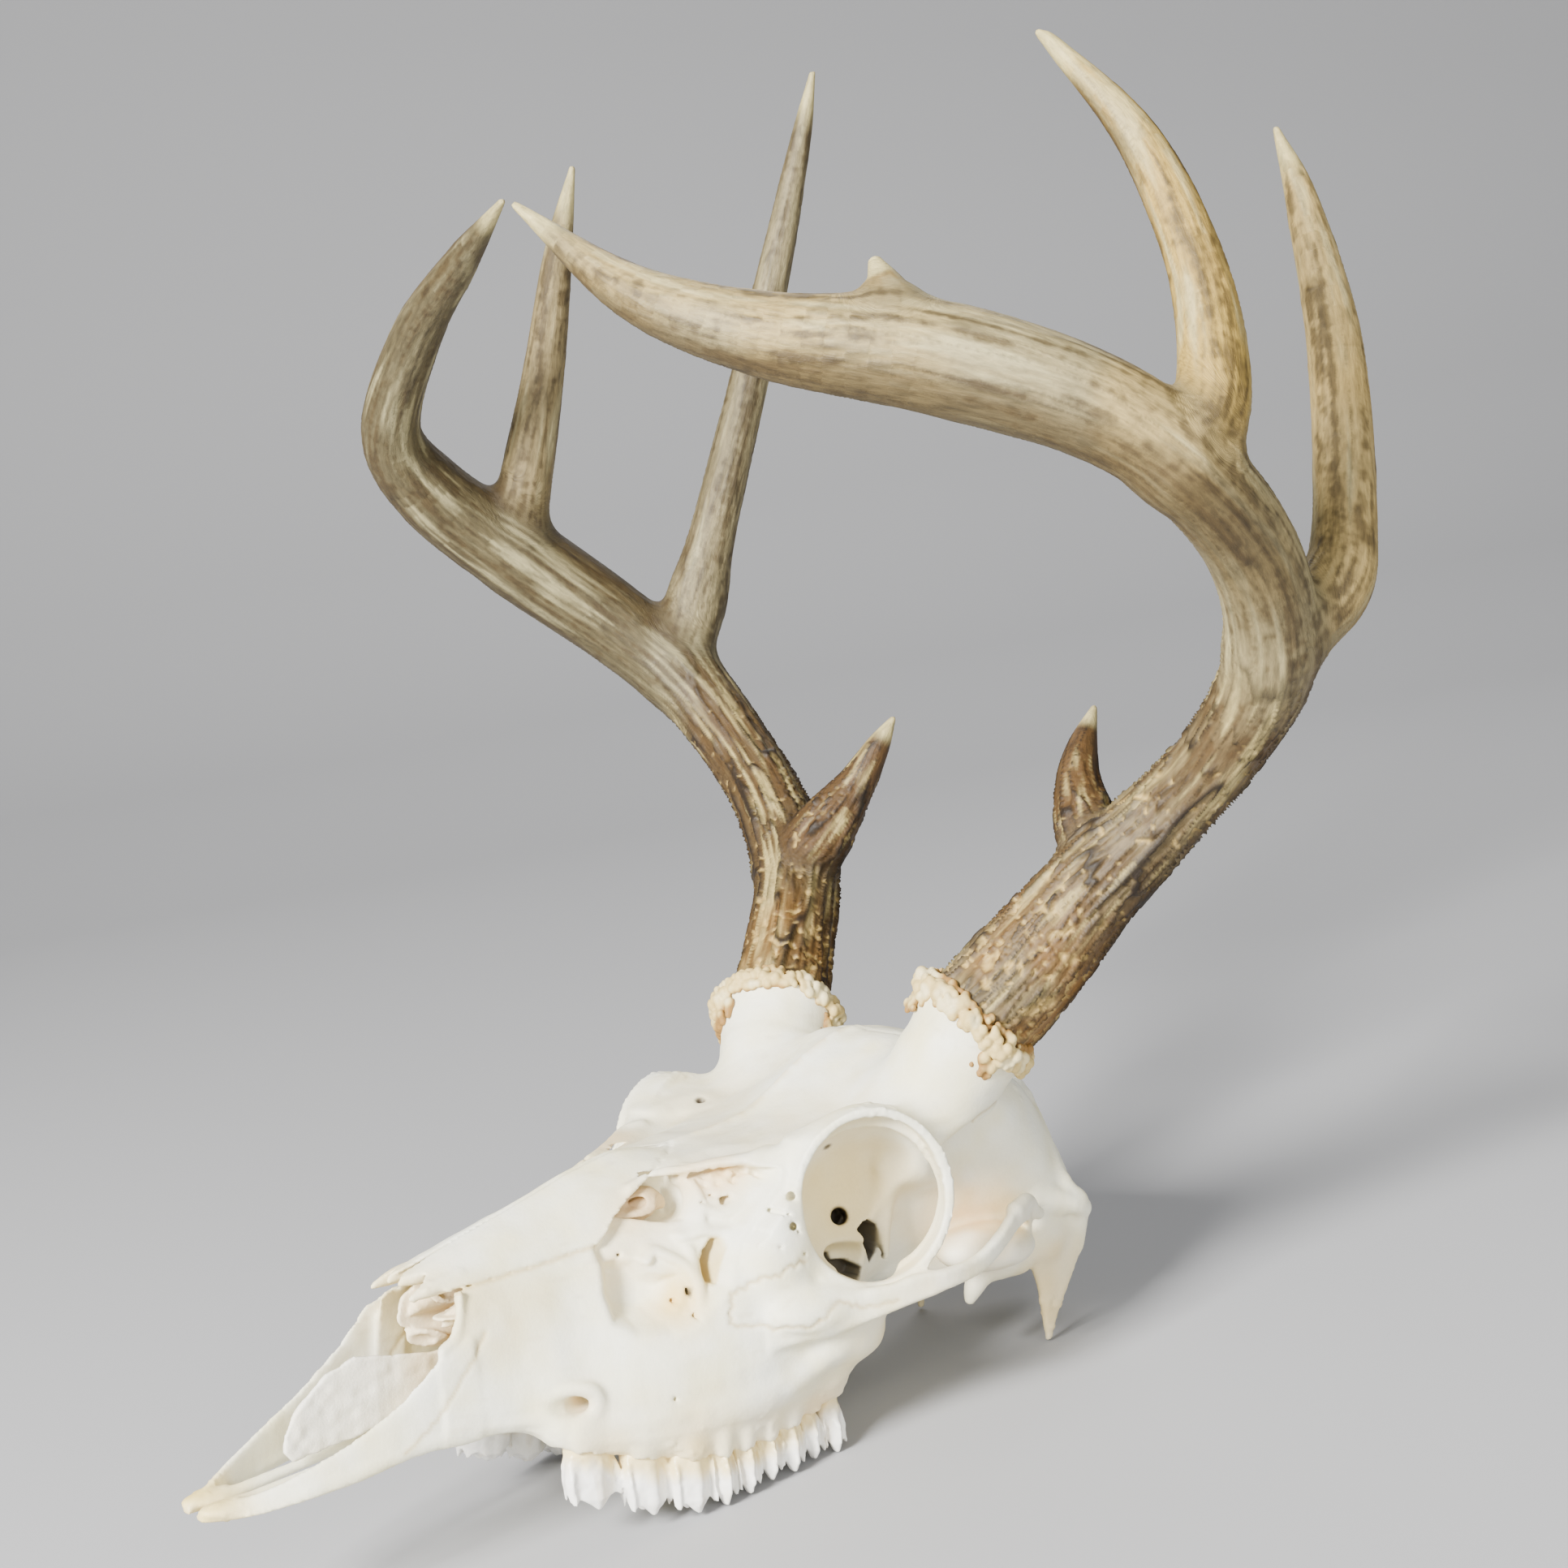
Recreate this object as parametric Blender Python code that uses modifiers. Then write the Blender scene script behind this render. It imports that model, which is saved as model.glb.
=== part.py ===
"""Deer skull with its antlers, life size and still, without the lower jaw.

It lies as such a skull rests on a flat surface: on its hindmost cheek teeth and on the two
processes under the back of the head, so the nose points a little upward.

The shape is drawn in the skull's own frame, in millimetres. X runs to the animal's left and Y from
the tip of the nose to the back of the head. Z runs up from the biting plane of the cheek teeth.
"""

import math
from collections import namedtuple

import bmesh
import bpy
from mathutils import Matrix, Vector

# ------------------------------------------------------------------ general sizes
MM = 0.001
GAP = 0.3                 # between neighbouring pieces
VOXEL = 1.7               # grain in which the bones of the skull are fused
SKULL_FACES = 2200        # triangles left in the fused skull
FLAT = math.radians(1.5)  # faces that bend less than this become one
SIDES = {"left": 1, "right": -1}

# ------------------------------------------------------------------ how it lies
RESTING_CUSP = (165.6, 3.6)           # (Y, Z) of the last molars' tips
RESTING_PROCESS = (247.3, 17.0)       # (Y, Z) of the tips of the processes under the back

# ------------------------------------------------------------------ trunk of the skull
# Each station is half a section, from the middle of the roof down to the middle of the base.
Station = namedtuple("Station", "y roof crown shoulder cheek edge floor")
TRUNK = [
    Station(61, 65.0, (5.5, 63.9), (12.0, 60.2), (16.6, 49), (19.2, 23.8), 28),
    Station(66, 67.0, (6, 65.6), (13.5, 60.5), (18.0, 48), (20.0, 24.0), 28),
    Station(80, 72.4, (8, 69.4), (15.0, 62.3), (21.0, 46), (22.6, 23.8), 27),
    Station(88, 75.2, (8.5, 71.5), (16.0, 63.6), (23.5, 45), (27.5, 19), 24),
    Station(97, 78.4, (9, 73.8), (17.0, 65.2), (26.5, 42), (31.0, 17.0), 22),
    Station(110, 83.0, (10, 78.2), (19.0, 69.8), (32.0, 46), (35.5, 16.0), 22),
    Station(124, 86.4, (12, 81.0), (21.5, 75.0), (36.5, 50), (38.0, 16), 22),
    Station(138, 85.0, (17, 82.6), (27.0, 79.0), (41.0, 56), (39.5, 15.5), 22),
    Station(147, 86.2, (20, 84.4), (35.0, 81.0), (43.0, 60), (39.3, 15.2), 22),
    Station(156, 87.4, (25, 84.8), (42.0, 86.0), (43.0, 60), (39.0, 15), 22),
    Station(169, 91.0, (27, 88.0), (46.0, 92.5), (42.0, 62), (37.5, 16), 23),
    Station(182, 99.8, (26, 92.0), (48.5, 93), (36.0, 70), (24.0, 38), 42),
    Station(193, 106.0, (24, 99.0), (46.0, 92), (34.0, 75), (19.0, 43), 44),
    Station(204, 109.2, (20, 105.8), (39.0, 90), (34.5, 72), (19.0, 44), 43),
    Station(216, 108.6, (18, 106.4), (36.5, 94), (37.0, 72), (23.0, 43), 41.5),
    Station(230, 104.4, (18, 102.4), (34.0, 94.5), (38.5, 70), (25.0, 42), 40),
    Station(243, 97.5, (15, 94.5), (31, 86.5), (37.8, 63), (25.0, 41), 39),
    Station(255, 88.0, (13, 83.5), (25.0, 74), (34.0, 57), (23.0, 40), 38),
    Station(263, 75.0, (11, 70), (18.0, 63), (24.0, 53), (18.0, 42), 39),
]

# ------------------------------------------------------------------ orbits and cheek bones
ORBIT_CENTRE = Vector((52.0, 170.3, 73.2))
ORBIT_HALF_LENGTH = 19.4
ORBIT_HALF_HEIGHT = 21.7
ORBIT_DEPTH = 25.0
ORBIT_FACING = math.radians(22)       # how far the opening turns from sideways to forward
RIM_THICKNESS = 2.4
RIM_WIDTH = 9.0
RIM_DROP = 1.1                        # how much thinner the rim is above, and thicker below
ARCH = [                              # middle line of the cheek bone's arch, front to back
    (42, 141, 41), (48, 153, 43.0), (53.5, 165, 45.6), (57.5, 177, 48.5), (59.5, 188, 50.0),
    (58.0, 199, 51.6), (55.0, 209, 55.4), (51.0, 218, 59.6), (46.5, 226, 60.8), (40, 232, 57),
]
ARCH_HEIGHTS = [10, 9, 8.5, 7.5, 5.5, 5, 5, 6, 7, 8]
ARCH_THICKNESS = 4.2

# ------------------------------------------------------------------ nose
NASAL_TIPS = [(3.0, 57.0, 61.6), (10.2, 56.2, 59.2)]    # inner and outer prong of each nasal bone
NOSE_CAVITY_CENTRE = (0, 62, 47.0)
NOSE_CAVITY_RADII = (13.4, 52, 12.8)
# Lower edge of the nose's side wall, front to back, shared by both sides, as (X, Y, Z).
WALL_FOOT = [
    (4.5, 0, 13.6), (10, 12, 14.6), (14.0, 24, 16.5), (16.0, 36, 18.6), (17.6, 48, 21.3),
    (18.8, 58, 22.8), (19.6, 68, 23.6),
]
# Height of its upper edge, which stands higher on the right, at the same places.
WALL_TOP = {
    "left": [16.6, 19.2, 23.4, 28.4, 35.2, 43.3, 48.0],
    "right": [17.4, 22.0, 28.2, 35.2, 43.8, 53.4, 57.0],
}
WALL_THICKNESS = 3.4
VOMER = [
    (27, 22.4), (24.8, 25), (25.2, 29), (27.5, 33.4), (32, 38), (37, 42.2), (45, 45), (66, 42.4),
    (110, 45), (110, 26), (40, 22.6),
]
VOMER_THICKNESS = 3.0
# Side outline of the open nostril, which reaches less far down on the right.
NOSTRIL = {
    "left": [(40, 57), (55, 58.2), (66.7, 59.8), (72.6, 49.4), (64, 47.7), (55, 41.6), (40, 36)],
    "right": [(40, 57), (55, 58.2), (60, 58.4), (62.5, 57.6), (55.5, 51), (43, 41)],
}

# ------------------------------------------------------------------ cheek teeth
# X and Y are those of each tooth's middle, and Z that of its tip.
Tooth = namedtuple("Tooth", "x y z length width lobes")
TEETH = [
    Tooth(25.6, 95.6, 2.4, 11.6, 9.5, 1),
    Tooth(29.4, 107.5, -1.0, 11.6, 11.0, 1),
    Tooth(32.6, 119.2, -2.5, 11.2, 12.0, 1),
    Tooth(33.0, 132.4, -1.4, 14.4, 13.0, 2),
    Tooth(32.3, 147.2, 1.6, 14.8, 13.4, 2),
    Tooth(31.2, 162.0, 3.2, 14.4, 12.4, 2),
]
TOOTH_ROOT = 21.0         # height at which the crowns end inside the jaw
TOOTH_RISE = 0.12         # how much a molar's rear lobe stands higher, per millimetre
# Sections of a lobe, as shares of its drop, length and width, and its shift outward.
LOBE = [(0, 0.86, 0.80, 0), (0.5, 1.04, 1.0, 0), (0.84, 0.92, 0.90, 0), (1, 0.34, 0.56, 1.6)]

# ------------------------------------------------------------------ bones between their sutures
# Side outlines as (Y, Z), between two distances from the middle. They are cut off in this order.
Bone = namedtuple("Bone", "name paired inner outer outline")
BONES = [
    Bone("premaxilla", True, 0, 40, [
        (-10, 0), (-10, 50), (40, 56), (61, 58.0), (68, 56), (72.2, 49.2), (64.7, 39.8),
        (57.1, 30.5), (48.2, 23.7), (44, 8)]),
    Bone("nasal", True, 0, 30, [
        (38, 57.2), (66.7, 59.8), (80, 61.6), (93.7, 63.6), (105.2, 65.8), (112.4, 70.4),
        (123.7, 80.7), (138.2, 85.5), (138.2, 110), (38, 90)]),
    Bone("frontal", True, 0, 80, [
        (120, 79.6), (134.3, 83.0), (144.4, 82.4), (152, 78), (172, 72), (197, 72), (199, 81),
        (204.7, 87.7), (215.3, 92.3), (228, 95), (233, 112), (233, 150), (120, 150)]),
    Bone("lacrimal", True, 25, 80, [
        (119.2, 48.5), (122.5, 60.3), (123, 90), (152, 90), (160, 70), (158, 58.5),
        (150.6, 58.7), (144.6, 57.2), (138.5, 54.5), (133.1, 51.5), (131.0, 46.3)]),
    Bone("zygomatic", True, 30, 80, [
        (131.5, 45.5), (133.1, 51.5), (144.6, 57.2), (150.6, 58.7), (158, 58.5), (160, 90),
        (199, 90), (199, 38), (186, 38), (173, 43.5), (161, 44), (150.7, 42.5), (146.5, 41.8)]),
    Bone("temporal", True, 22, 80, [
        (192, 28), (192, 66), (205, 68), (235, 71), (246, 62), (245, 48), (241, 42), (241, 28)]),
    Bone("occipital", False, -80, 80, [
        (224, 0), (224, 48), (250, 52), (247, 66), (251, 80), (254, 110), (300, 110), (300, 0)]),
    Bone("parietal", False, -80, 80, [
        (188, 64), (270, 64), (270, 130), (188, 130)]),
    Bone("sphenoid", False, -80, 80, [
        (177, 0), (177, 130), (270, 130), (270, 0)]),
]

# ------------------------------------------------------------------ antlers
# Middle lines as (X, Y, Z, radius), root to tip.
BEAM = {
    "left": [
        (43, 207.4, 106.8, 15.0), (45.6, 212.2, 114, 15.2), (54.8, 224.2, 129, 14.5),
        (68, 238, 150, 12.4), (85.6, 249.5, 169.6, 10.7), (106, 251.5, 187, 10.2),
        (128, 245.5, 208, 11.7), (143, 226.5, 232, 11.1), (151.5, 198, 252, 11.3),
        (142, 177, 268, 12.4), (119, 148, 281.4, 13.1), (91.5, 119.5, 289.3, 9.9),
        (65.6, 100.7, 302, 6.4), (34.5, 87.9, 327, 0.9)],
    "right": [
        (-41.4, 206, 103.6, 14.0), (-44.2, 210.2, 109.8, 14.2), (-57.3, 225.2, 128.3, 12.9),
        (-70.5, 238.3, 146, 12.6), (-90, 245.4, 167, 11.2), (-111, 248.5, 185, 10.9),
        (-134, 245.3, 207.5, 12.2), (-149, 226.7, 229.6, 13.2), (-157, 197, 252, 13.7),
        (-157.5, 165, 273.5, 12.0), (-146.6, 145.7, 292.3, 9.2), (-109.7, 137, 317.3, 7.3),
        (-71, 131.2, 332, 4.8), (-33.3, 123.6, 342, 0.9)],
}
TINES = {
    "left": {
        "brow_tine": [(71, 241, 152, 10), (60, 243.5, 162.5, 8.5), (52.8, 246.7, 175.5, 6.0),
                      (49, 252.2, 186, 4.1), (46.5, 259.3, 196.4, 0.9)],
        "second_tine": [(131, 243, 211, 12), (138.5, 257, 223.7, 9.4), (135.8, 266.1, 242.1, 8.0),
                        (123.5, 278.6, 287.2, 7.1), (108.9, 284.3, 327.7, 4.3),
                        (99.9, 285.1, 348.7, 0.9)],
        "third_tine": [(151, 193, 253.5, 11), (154.4, 202.4, 267.3, 8.8), (146.3, 208, 299, 7.1),
                       (130.9, 205.4, 333.2, 5.3), (113.4, 196.4, 358, 2.3),
                       (109.1, 193.9, 363, 0.9)],
        "fourth_tine": [(115.5, 144, 283.5, 9), (113.6, 141.1, 294, 5.7),
                        (111.2, 138.6, 303.6, 1.8)],
    },
    "right": {
        "brow_tine": [(-73, 239, 149, 10), (-61, 241.3, 160, 9.3), (-54.2, 250, 174, 6.0),
                      (-49.3, 255.9, 186.3, 3.8), (-45.9, 260.1, 195, 0.9)],
        "second_tine": [(-138, 242, 214, 13), (-134.2, 248.9, 236.4, 10.1),
                        (-128.9, 253.8, 260.2, 7.5), (-112.7, 268.4, 333.3, 5.6),
                        (-102.8, 276.9, 382.3, 3.4), (-98.5, 280.4, 405.4, 0.9)],
        "third_tine": [(-157, 194, 253, 12.5), (-150.5, 194.4, 272.6, 8.6),
                       (-134.3, 194.6, 309.9, 6.5), (-119.2, 193.2, 346.1, 4.3),
                       (-108.3, 193, 369.8, 0.9)],
    },
}
BURR_POINT = 1            # the beam's point in the middle of the burr
FORK_POINTS = (7, 9)      # the beam's points, past each main fork, where it is parted
BURR_CORE = 7.0           # of the burr between the beam and the skull's stalk
BURR_RADIUS = 17.2
STALK_HOLE = 18.2         # radius left free for the skull's stalk under the burr
BURR_KNOBS = 11
KNOB_RADIUS = 4.2
BURR_FACES = 260
CLEAR_LENGTH = 40.0       # of what is cleared past the burr, for the antler and for the stalk
CLEAR_RADIUS = 26.0
BEAM_INSET = 0.6          # how much thinner the beam starts inside the burr
# Bony stalks of the antlers, as (X, Y, Z, radius).
PEDICLE = [(31, 200, 86, 17), (40, 205, 98, 16.0), (46.5, 213.3, 114.8, 14.4)]

# ------------------------------------------------------------------ colours
Finish = namedtuple("Finish", "colour roughness")
BONE_WHITE = Finish((0.86, 0.83, 0.75), 0.5)
BONE_CREAM = Finish((0.80, 0.74, 0.62), 0.55)
BURR_CREAM = Finish((0.70, 0.57, 0.37), 0.6)
ANTLER_DARK = Finish((0.24, 0.16, 0.09), 0.65)
ANTLER_TAUPE = Finish((0.42, 0.34, 0.25), 0.6)
ANTLER_TAN = Finish((0.47, 0.36, 0.22), 0.55)


# ================================================================== scene and mesh helpers
def clear_scene():
    for thing in list(bpy.data.objects):
        bpy.data.objects.remove(thing)


def collection(name):
    group = bpy.data.collections.new(name)
    bpy.context.scene.collection.children.link(group)
    return group


def material(name, finish):
    surface = bpy.data.materials.new(name)
    surface.use_nodes = True
    shader = surface.node_tree.nodes["Principled BSDF"]
    shader.inputs["Base Color"].default_value = (*finish.colour, 1)
    shader.inputs["Roughness"].default_value = finish.roughness
    shader.inputs["Metallic"].default_value = 0.0
    surface.diffuse_color = (*finish.colour, 1)
    return surface


def object_from(bm, name, group):
    mesh = bpy.data.meshes.new(name)
    bm.to_mesh(mesh)
    bm.free()
    thing = bpy.data.objects.new(name, mesh)
    group.objects.link(thing)
    return thing


def bake(thing):
    """Turn an object with modifiers, or a curve, into a plain mesh object in its place."""
    graph = bpy.context.evaluated_depsgraph_get()
    name = thing.name
    group = thing.users_collection[0]
    bm = bmesh.new()
    bm.from_mesh(bpy.data.meshes.new_from_object(thing.evaluated_get(graph)))
    bmesh.ops.transform(bm, matrix=thing.matrix_world, verts=bm.verts)
    bmesh.ops.remove_doubles(bm, verts=bm.verts, dist=0.001)
    if thing.type == "CURVE":
        bmesh.ops.recalc_face_normals(bm, faces=bm.faces)
    bpy.data.objects.remove(thing)
    return object_from(bm, name, group)


def boolean(thing, cutter, operation):
    cutter.hide_render = True
    cutter.display_type = "WIRE"
    tool = thing.modifiers.new(operation.lower(), "BOOLEAN")
    tool.operation = operation
    tool.object = cutter
    tool.solver = "EXACT"
    return bake(thing)


def join(things, name, group):
    bm = bmesh.new()
    for thing in things:
        bm.from_mesh(thing.data)
        bpy.data.objects.remove(thing)
    return object_from(bm, name, group)


def duplicate(thing, name):
    twin = bpy.data.objects.new(name, thing.data.copy())
    thing.users_collection[0].objects.link(twin)
    return twin


def keep_largest_body(thing):
    """Drop the crumbs that a cut leaves beside the piece."""
    bm = bmesh.new()
    bm.from_mesh(thing.data)
    bm.faces.ensure_lookup_table()
    unseen = set(bm.faces)
    bodies = []
    while unseen:
        body, edge = [], [unseen.pop()]
        while edge:
            face = edge.pop()
            body.append(face)
            for link in face.edges:
                for other in link.link_faces:
                    if other in unseen:
                        unseen.remove(other)
                        edge.append(other)
        bodies.append(body)
    bodies.sort(key=lambda body: sum(face.calc_area() for face in body))
    for body in bodies[:-1]:
        bmesh.ops.delete(bm, geom=body, context="FACES")
    bmesh.ops.dissolve_limit(bm, angle_limit=FLAT, verts=bm.verts, edges=bm.edges)
    bmesh.ops.triangulate(bm, faces=bm.faces)
    bm.to_mesh(thing.data)
    bm.free()
    return thing


# ================================================================== shapes
def smooth_line(points, steps):
    """A Catmull-Rom line through the points, with `steps` stretches between each two."""
    rows = [Vector(point) for point in points]
    rows = [rows[0] * 2 - rows[1], *rows, rows[-1] * 2 - rows[-2]]
    line = []
    for i in range(1, len(rows) - 2):
        for j in range(steps):
            line.append(between(rows[i - 1:i + 3], j / steps))
    line.append(rows[-2])
    return line


def between(four, t):
    """The point at t, from 0 to 1, on the smooth stretch from the second to the third of four."""
    a, b, c, d = four
    return (b * 2 + (c - a) * t + (a * 2 - b * 5 + c * 4 - d) * t ** 2
            + (b * 3 - a - c * 3 + d) * t ** 3) / 2


def loft(rings, name, group):
    """A closed skin over rings that have the same number of points."""
    bm = bmesh.new()
    rows = [[bm.verts.new(point) for point in ring] for ring in rings]
    count = len(rows[0])
    for near, far in zip(rows, rows[1:]):
        for i in range(count):
            j = (i + 1) % count
            bm.faces.new((near[i], near[j], far[j], far[i]))
    bm.faces.new(rows[0])
    bm.faces.new(rows[-1])
    bmesh.ops.recalc_face_normals(bm, faces=bm.faces)
    return object_from(bm, name, group)


def ellipsoid(centre, radii, group, turn=0.0, name="lump"):
    bm = bmesh.new()
    bmesh.ops.create_uvsphere(bm, u_segments=20, v_segments=12, radius=1)
    place = Matrix.Translation(centre) @ Matrix.Rotation(turn, 4, "Z") @ Matrix.Diagonal((*radii, 1))
    bmesh.ops.transform(bm, matrix=place, verts=bm.verts)
    return object_from(bm, name, group)


def disc(centre, axis, radii, depth, group, name="disc"):
    """An oval disc whose round face looks along `axis`, with its second radius upright."""
    bm = bmesh.new()
    bmesh.ops.create_cone(bm, cap_ends=True, segments=32, radius1=1, radius2=1, depth=depth)
    turn = Vector(axis).to_track_quat("Z", "Y").to_matrix().to_4x4()
    place = Matrix.Translation(centre) @ turn @ Matrix.Diagonal((*radii, 1, 1))
    bmesh.ops.transform(bm, matrix=place, verts=bm.verts)
    return object_from(bm, name, group)


def slab(outline, low, high, group, name="slab"):
    """A side outline, given as (Y, Z), made solid from X = low to X = high."""
    curve = bpy.data.curves.new(name, "CURVE")
    curve.dimensions = "2D"
    curve.fill_mode = "BOTH"
    curve.extrude = (high - low) / 2
    spline = curve.splines.new("POLY")
    spline.points.add(len(outline) - 1)
    spline.use_cyclic_u = True
    for knot, (y, z) in zip(spline.points, outline):
        knot.co = (y, z, 0, 1)
    thing = bpy.data.objects.new(name, curve)
    group.objects.link(thing)
    upright = Matrix(((0, 0, 1), (1, 0, 0), (0, 1, 0))).to_4x4()
    thing.matrix_world = Matrix.Translation(((low + high) / 2, 0, 0)) @ upright
    return bake(thing)


def tube(rows, group, name="tube", extra=0.0, steps=2, roundness=2):
    """A round bar along a smooth line of (X, Y, Z, radius), each radius `extra` larger."""
    line = smooth_line(rows, steps)
    curve = bpy.data.curves.new(name, "CURVE")
    curve.dimensions = "3D"
    curve.bevel_depth = 1.0
    curve.bevel_resolution = roundness
    curve.use_fill_caps = True
    spline = curve.splines.new("POLY")
    spline.points.add(len(line) - 1)
    for knot, (x, y, z, radius) in zip(spline.points, line):
        knot.co = (x, y, z, 1)
        knot.radius = max(radius, 0.3) + extra
    thing = bpy.data.objects.new(name, curve)
    group.objects.link(thing)
    return bake(thing)


def blade(foot, top, thickness, group, name="blade"):
    """A flat bone between a lower and an upper edge, both lines with the same number of points."""
    rings = []
    for low, high in zip(smooth_line(foot, 2), smooth_line(top, 2)):
        out = Vector((thickness / 2, 0, 0))
        rise = (high - low) * 0.18
        rings.append([low, low + rise + out, high - rise + out, high, high - rise - out,
                      low + rise - out])
    return loft(rings, name, group)


def mirrored(thing, name="twin"):
    """A copy on the other side of the skull."""
    twin = duplicate(thing, name)
    bm = bmesh.new()
    bm.from_mesh(twin.data)
    bmesh.ops.scale(bm, vec=(-1, 1, 1), verts=bm.verts)
    bmesh.ops.reverse_faces(bm, faces=bm.faces)
    bm.to_mesh(twin.data)
    bm.free()
    return twin


# ================================================================== the fused skull
def trunk(group):
    rings = []
    for station in TRUNK:
        corners = [(0, station.roof), station.crown, station.shoulder, station.cheek, station.edge,
                   (0, station.floor)]
        half = smooth_line([(x, z, 0) for x, z in corners], 4)
        left = [Vector((x, station.y, z)) for x, z, _ in half]
        right = [Vector((-point.x, point.y, point.z)) for point in reversed(left[1:-1])]
        rings.append(left + right)
    return loft(rings, "trunk", group)


def orbit_axis():
    return Vector((math.cos(ORBIT_FACING), -math.sin(ORBIT_FACING), 0))


def orbit_rim(group):
    """The disc that the orbit's hollow turns into a ring."""
    centre = ORBIT_CENTRE - orbit_axis() * RIM_WIDTH / 2 - Vector((0, 0, RIM_DROP))
    radii = (ORBIT_HALF_LENGTH + RIM_THICKNESS, ORBIT_HALF_HEIGHT + RIM_THICKNESS)
    return disc(centre, orbit_axis(), radii, RIM_WIDTH, group, "orbit rim")


def orbit_cutter(group):
    radii = (ORBIT_DEPTH, ORBIT_HALF_LENGTH, ORBIT_HALF_HEIGHT)
    return ellipsoid(ORBIT_CENTRE, radii, group, turn=-ORBIT_FACING, name="orbit")


def cheek_arch(group):
    foot = [(x, y, z - height / 2) for (x, y, z), height in zip(ARCH, ARCH_HEIGHTS)]
    top = [(x, y, z + height / 2) for (x, y, z), height in zip(ARCH, ARCH_HEIGHTS)]
    return blade(foot, top, ARCH_THICKNESS, group, "cheek arch")


def nose_wall(side, group):
    sign = SIDES[side]
    foot = [(sign * x, y, z) for x, y, z in WALL_FOOT]
    top = [(sign * (x - 1.2), y, height) for (x, y, _), height in zip(WALL_FOOT, WALL_TOP[side])]
    return blade(foot, top, WALL_THICKNESS, group, "nose wall")


def left_half_bones(group):
    """What stands on the trunk's left half and is the same on the right."""
    return [
        orbit_rim(group),
        cheek_arch(group),
        ellipsoid((42, 148, 62), (6, 10, 14), group),                          # in front of the orbit
        ellipsoid((46, 160, 45), (8, 19, 7), group),                           # below the orbit
        ellipsoid((41, 167, 37), (8, 12, 9), group),                           # behind the last molar
        ellipsoid((38, 175, 88), (13, 21, 3.6), group),                        # roof of the orbit
        tube(PEDICLE, group, roundness=5),
        ellipsoid((37, 219, 50), (12, 15, 6.5), group),                        # bed of the jaw joint
        ellipsoid((27.5, 230, 44), (8.5, 12, 6.5), group),                     # ear capsule
        tube([(28, 226, 43, 4.5), (29, 221, 37, 2.8), (29, 219.5, 34, 1.6)], group),
        tube([(14, 262, 43, 10.5), (12, 267, 42, 8)], group),                  # joint with the neck
        blade([(31.5, 241, 52), (30.5, 242.5, 34), (28.9, 245.5, 17.5)],
              [(33.5, 254, 52), (32, 252.5, 34), (29, 249, 17.5)], 6.4, group),    # resting process
        tube([(34, 240, 60, 5), (38, 250, 57.5, 3.2), (37.5, 254, 57, 2.4)], group),
        blade([(10, 180, 27), (11, 188, 25), (11, 196, 28), (10, 204, 36)],
              [(10, 180, 46), (11, 188, 47), (11, 196, 48), (10, 204, 48)], 3.6, group),
        tube([(3.6, 7, 16, 2.2), (4, 20, 18, 1.9), (4.4, 40, 21, 1.9), (4.5, 64, 26, 2)], group),
        ellipsoid((6.2, 9, 16.2), (5.4, 9.5, 2.6), group),                     # tip of the nose
        tube([(4, 70, 64.4, 3.4), (3.4, 63, 63.0, 2.6), (*NASAL_TIPS[0], 1.3)], group),
        tube([(10, 70, 62.4, 3.0), (10.5, 62, 60.8, 2.4), (*NASAL_TIPS[1], 1.3)], group),
    ]


def remesh(thing, voxel):
    fuse = thing.modifiers.new("fuse", "REMESH")
    fuse.mode = "VOXEL"
    fuse.voxel_size = voxel
    calm = thing.modifiers.new("calm", "SMOOTH")
    calm.factor = 0.5
    calm.iterations = 2
    return bake(thing)


def thin_out(thing, faces):
    thin = thing.modifiers.new("thin", "DECIMATE")
    thin.ratio = faces / (2 * len(thing.data.polygons))
    return bake(thing)


def fused_skull(group, cutters):
    solids = [trunk(group)]
    for bone in left_half_bones(group):
        solids += [bone, mirrored(bone)]
    skull = remesh(join(solids, "skull", group), VOXEL)
    for cutter in cavity_cutters(cutters):
        skull = boolean(skull, cutter, "DIFFERENCE")
    walls = [nose_wall(side, group) for side in SIDES]
    skull = remesh(join([skull, *walls], "skull", group), VOXEL)
    return keep_largest_body(thin_out(skull, SKULL_FACES))


def cavity_cutters(group):
    left_orbit = orbit_cutter(group)
    nose = ellipsoid(NOSE_CAVITY_CENTRE, NOSE_CAVITY_RADII, group, name="nose cavity")
    throat = ellipsoid((0, 172, 33), (9.5, 16, 9), group, name="throat")
    marrow = tube([(0, 240, 48, 9), (0, 285, 46, 9)], group, "foramen magnum")
    nostrils = [
        slab(NOSTRIL["left"], 6, 40, group, "left nostril"),
        slab(NOSTRIL["right"], -40, -6, group, "right nostril"),
    ]
    return [left_orbit, mirrored(left_orbit), nose, throat, marrow, *nostrils]


# ================================================================== parting the skull
def widened(outline, by):
    """The outline moved outward by a distance, or inward by a negative one."""
    turning = sum(a[0] * b[1] - b[0] * a[1] for a, b in zip(outline, outline[1:] + outline[:1]))
    sign = 1 if turning > 0 else -1
    moved = []
    for before, here, after in zip(outline[-1:] + outline[:-1], outline, outline[1:] + outline[:1]):
        come = (Vector(here) - Vector(before)).normalized()
        leave = (Vector(after) - Vector(here)).normalized()
        normals = [Vector((way.y, -way.x)) * sign for way in (come, leave)]
        corner = (normals[0] + normals[1]).normalized()
        moved.append(tuple(Vector(here) + corner * by / max(corner.dot(normals[0]), 0.4)))
    return moved


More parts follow.
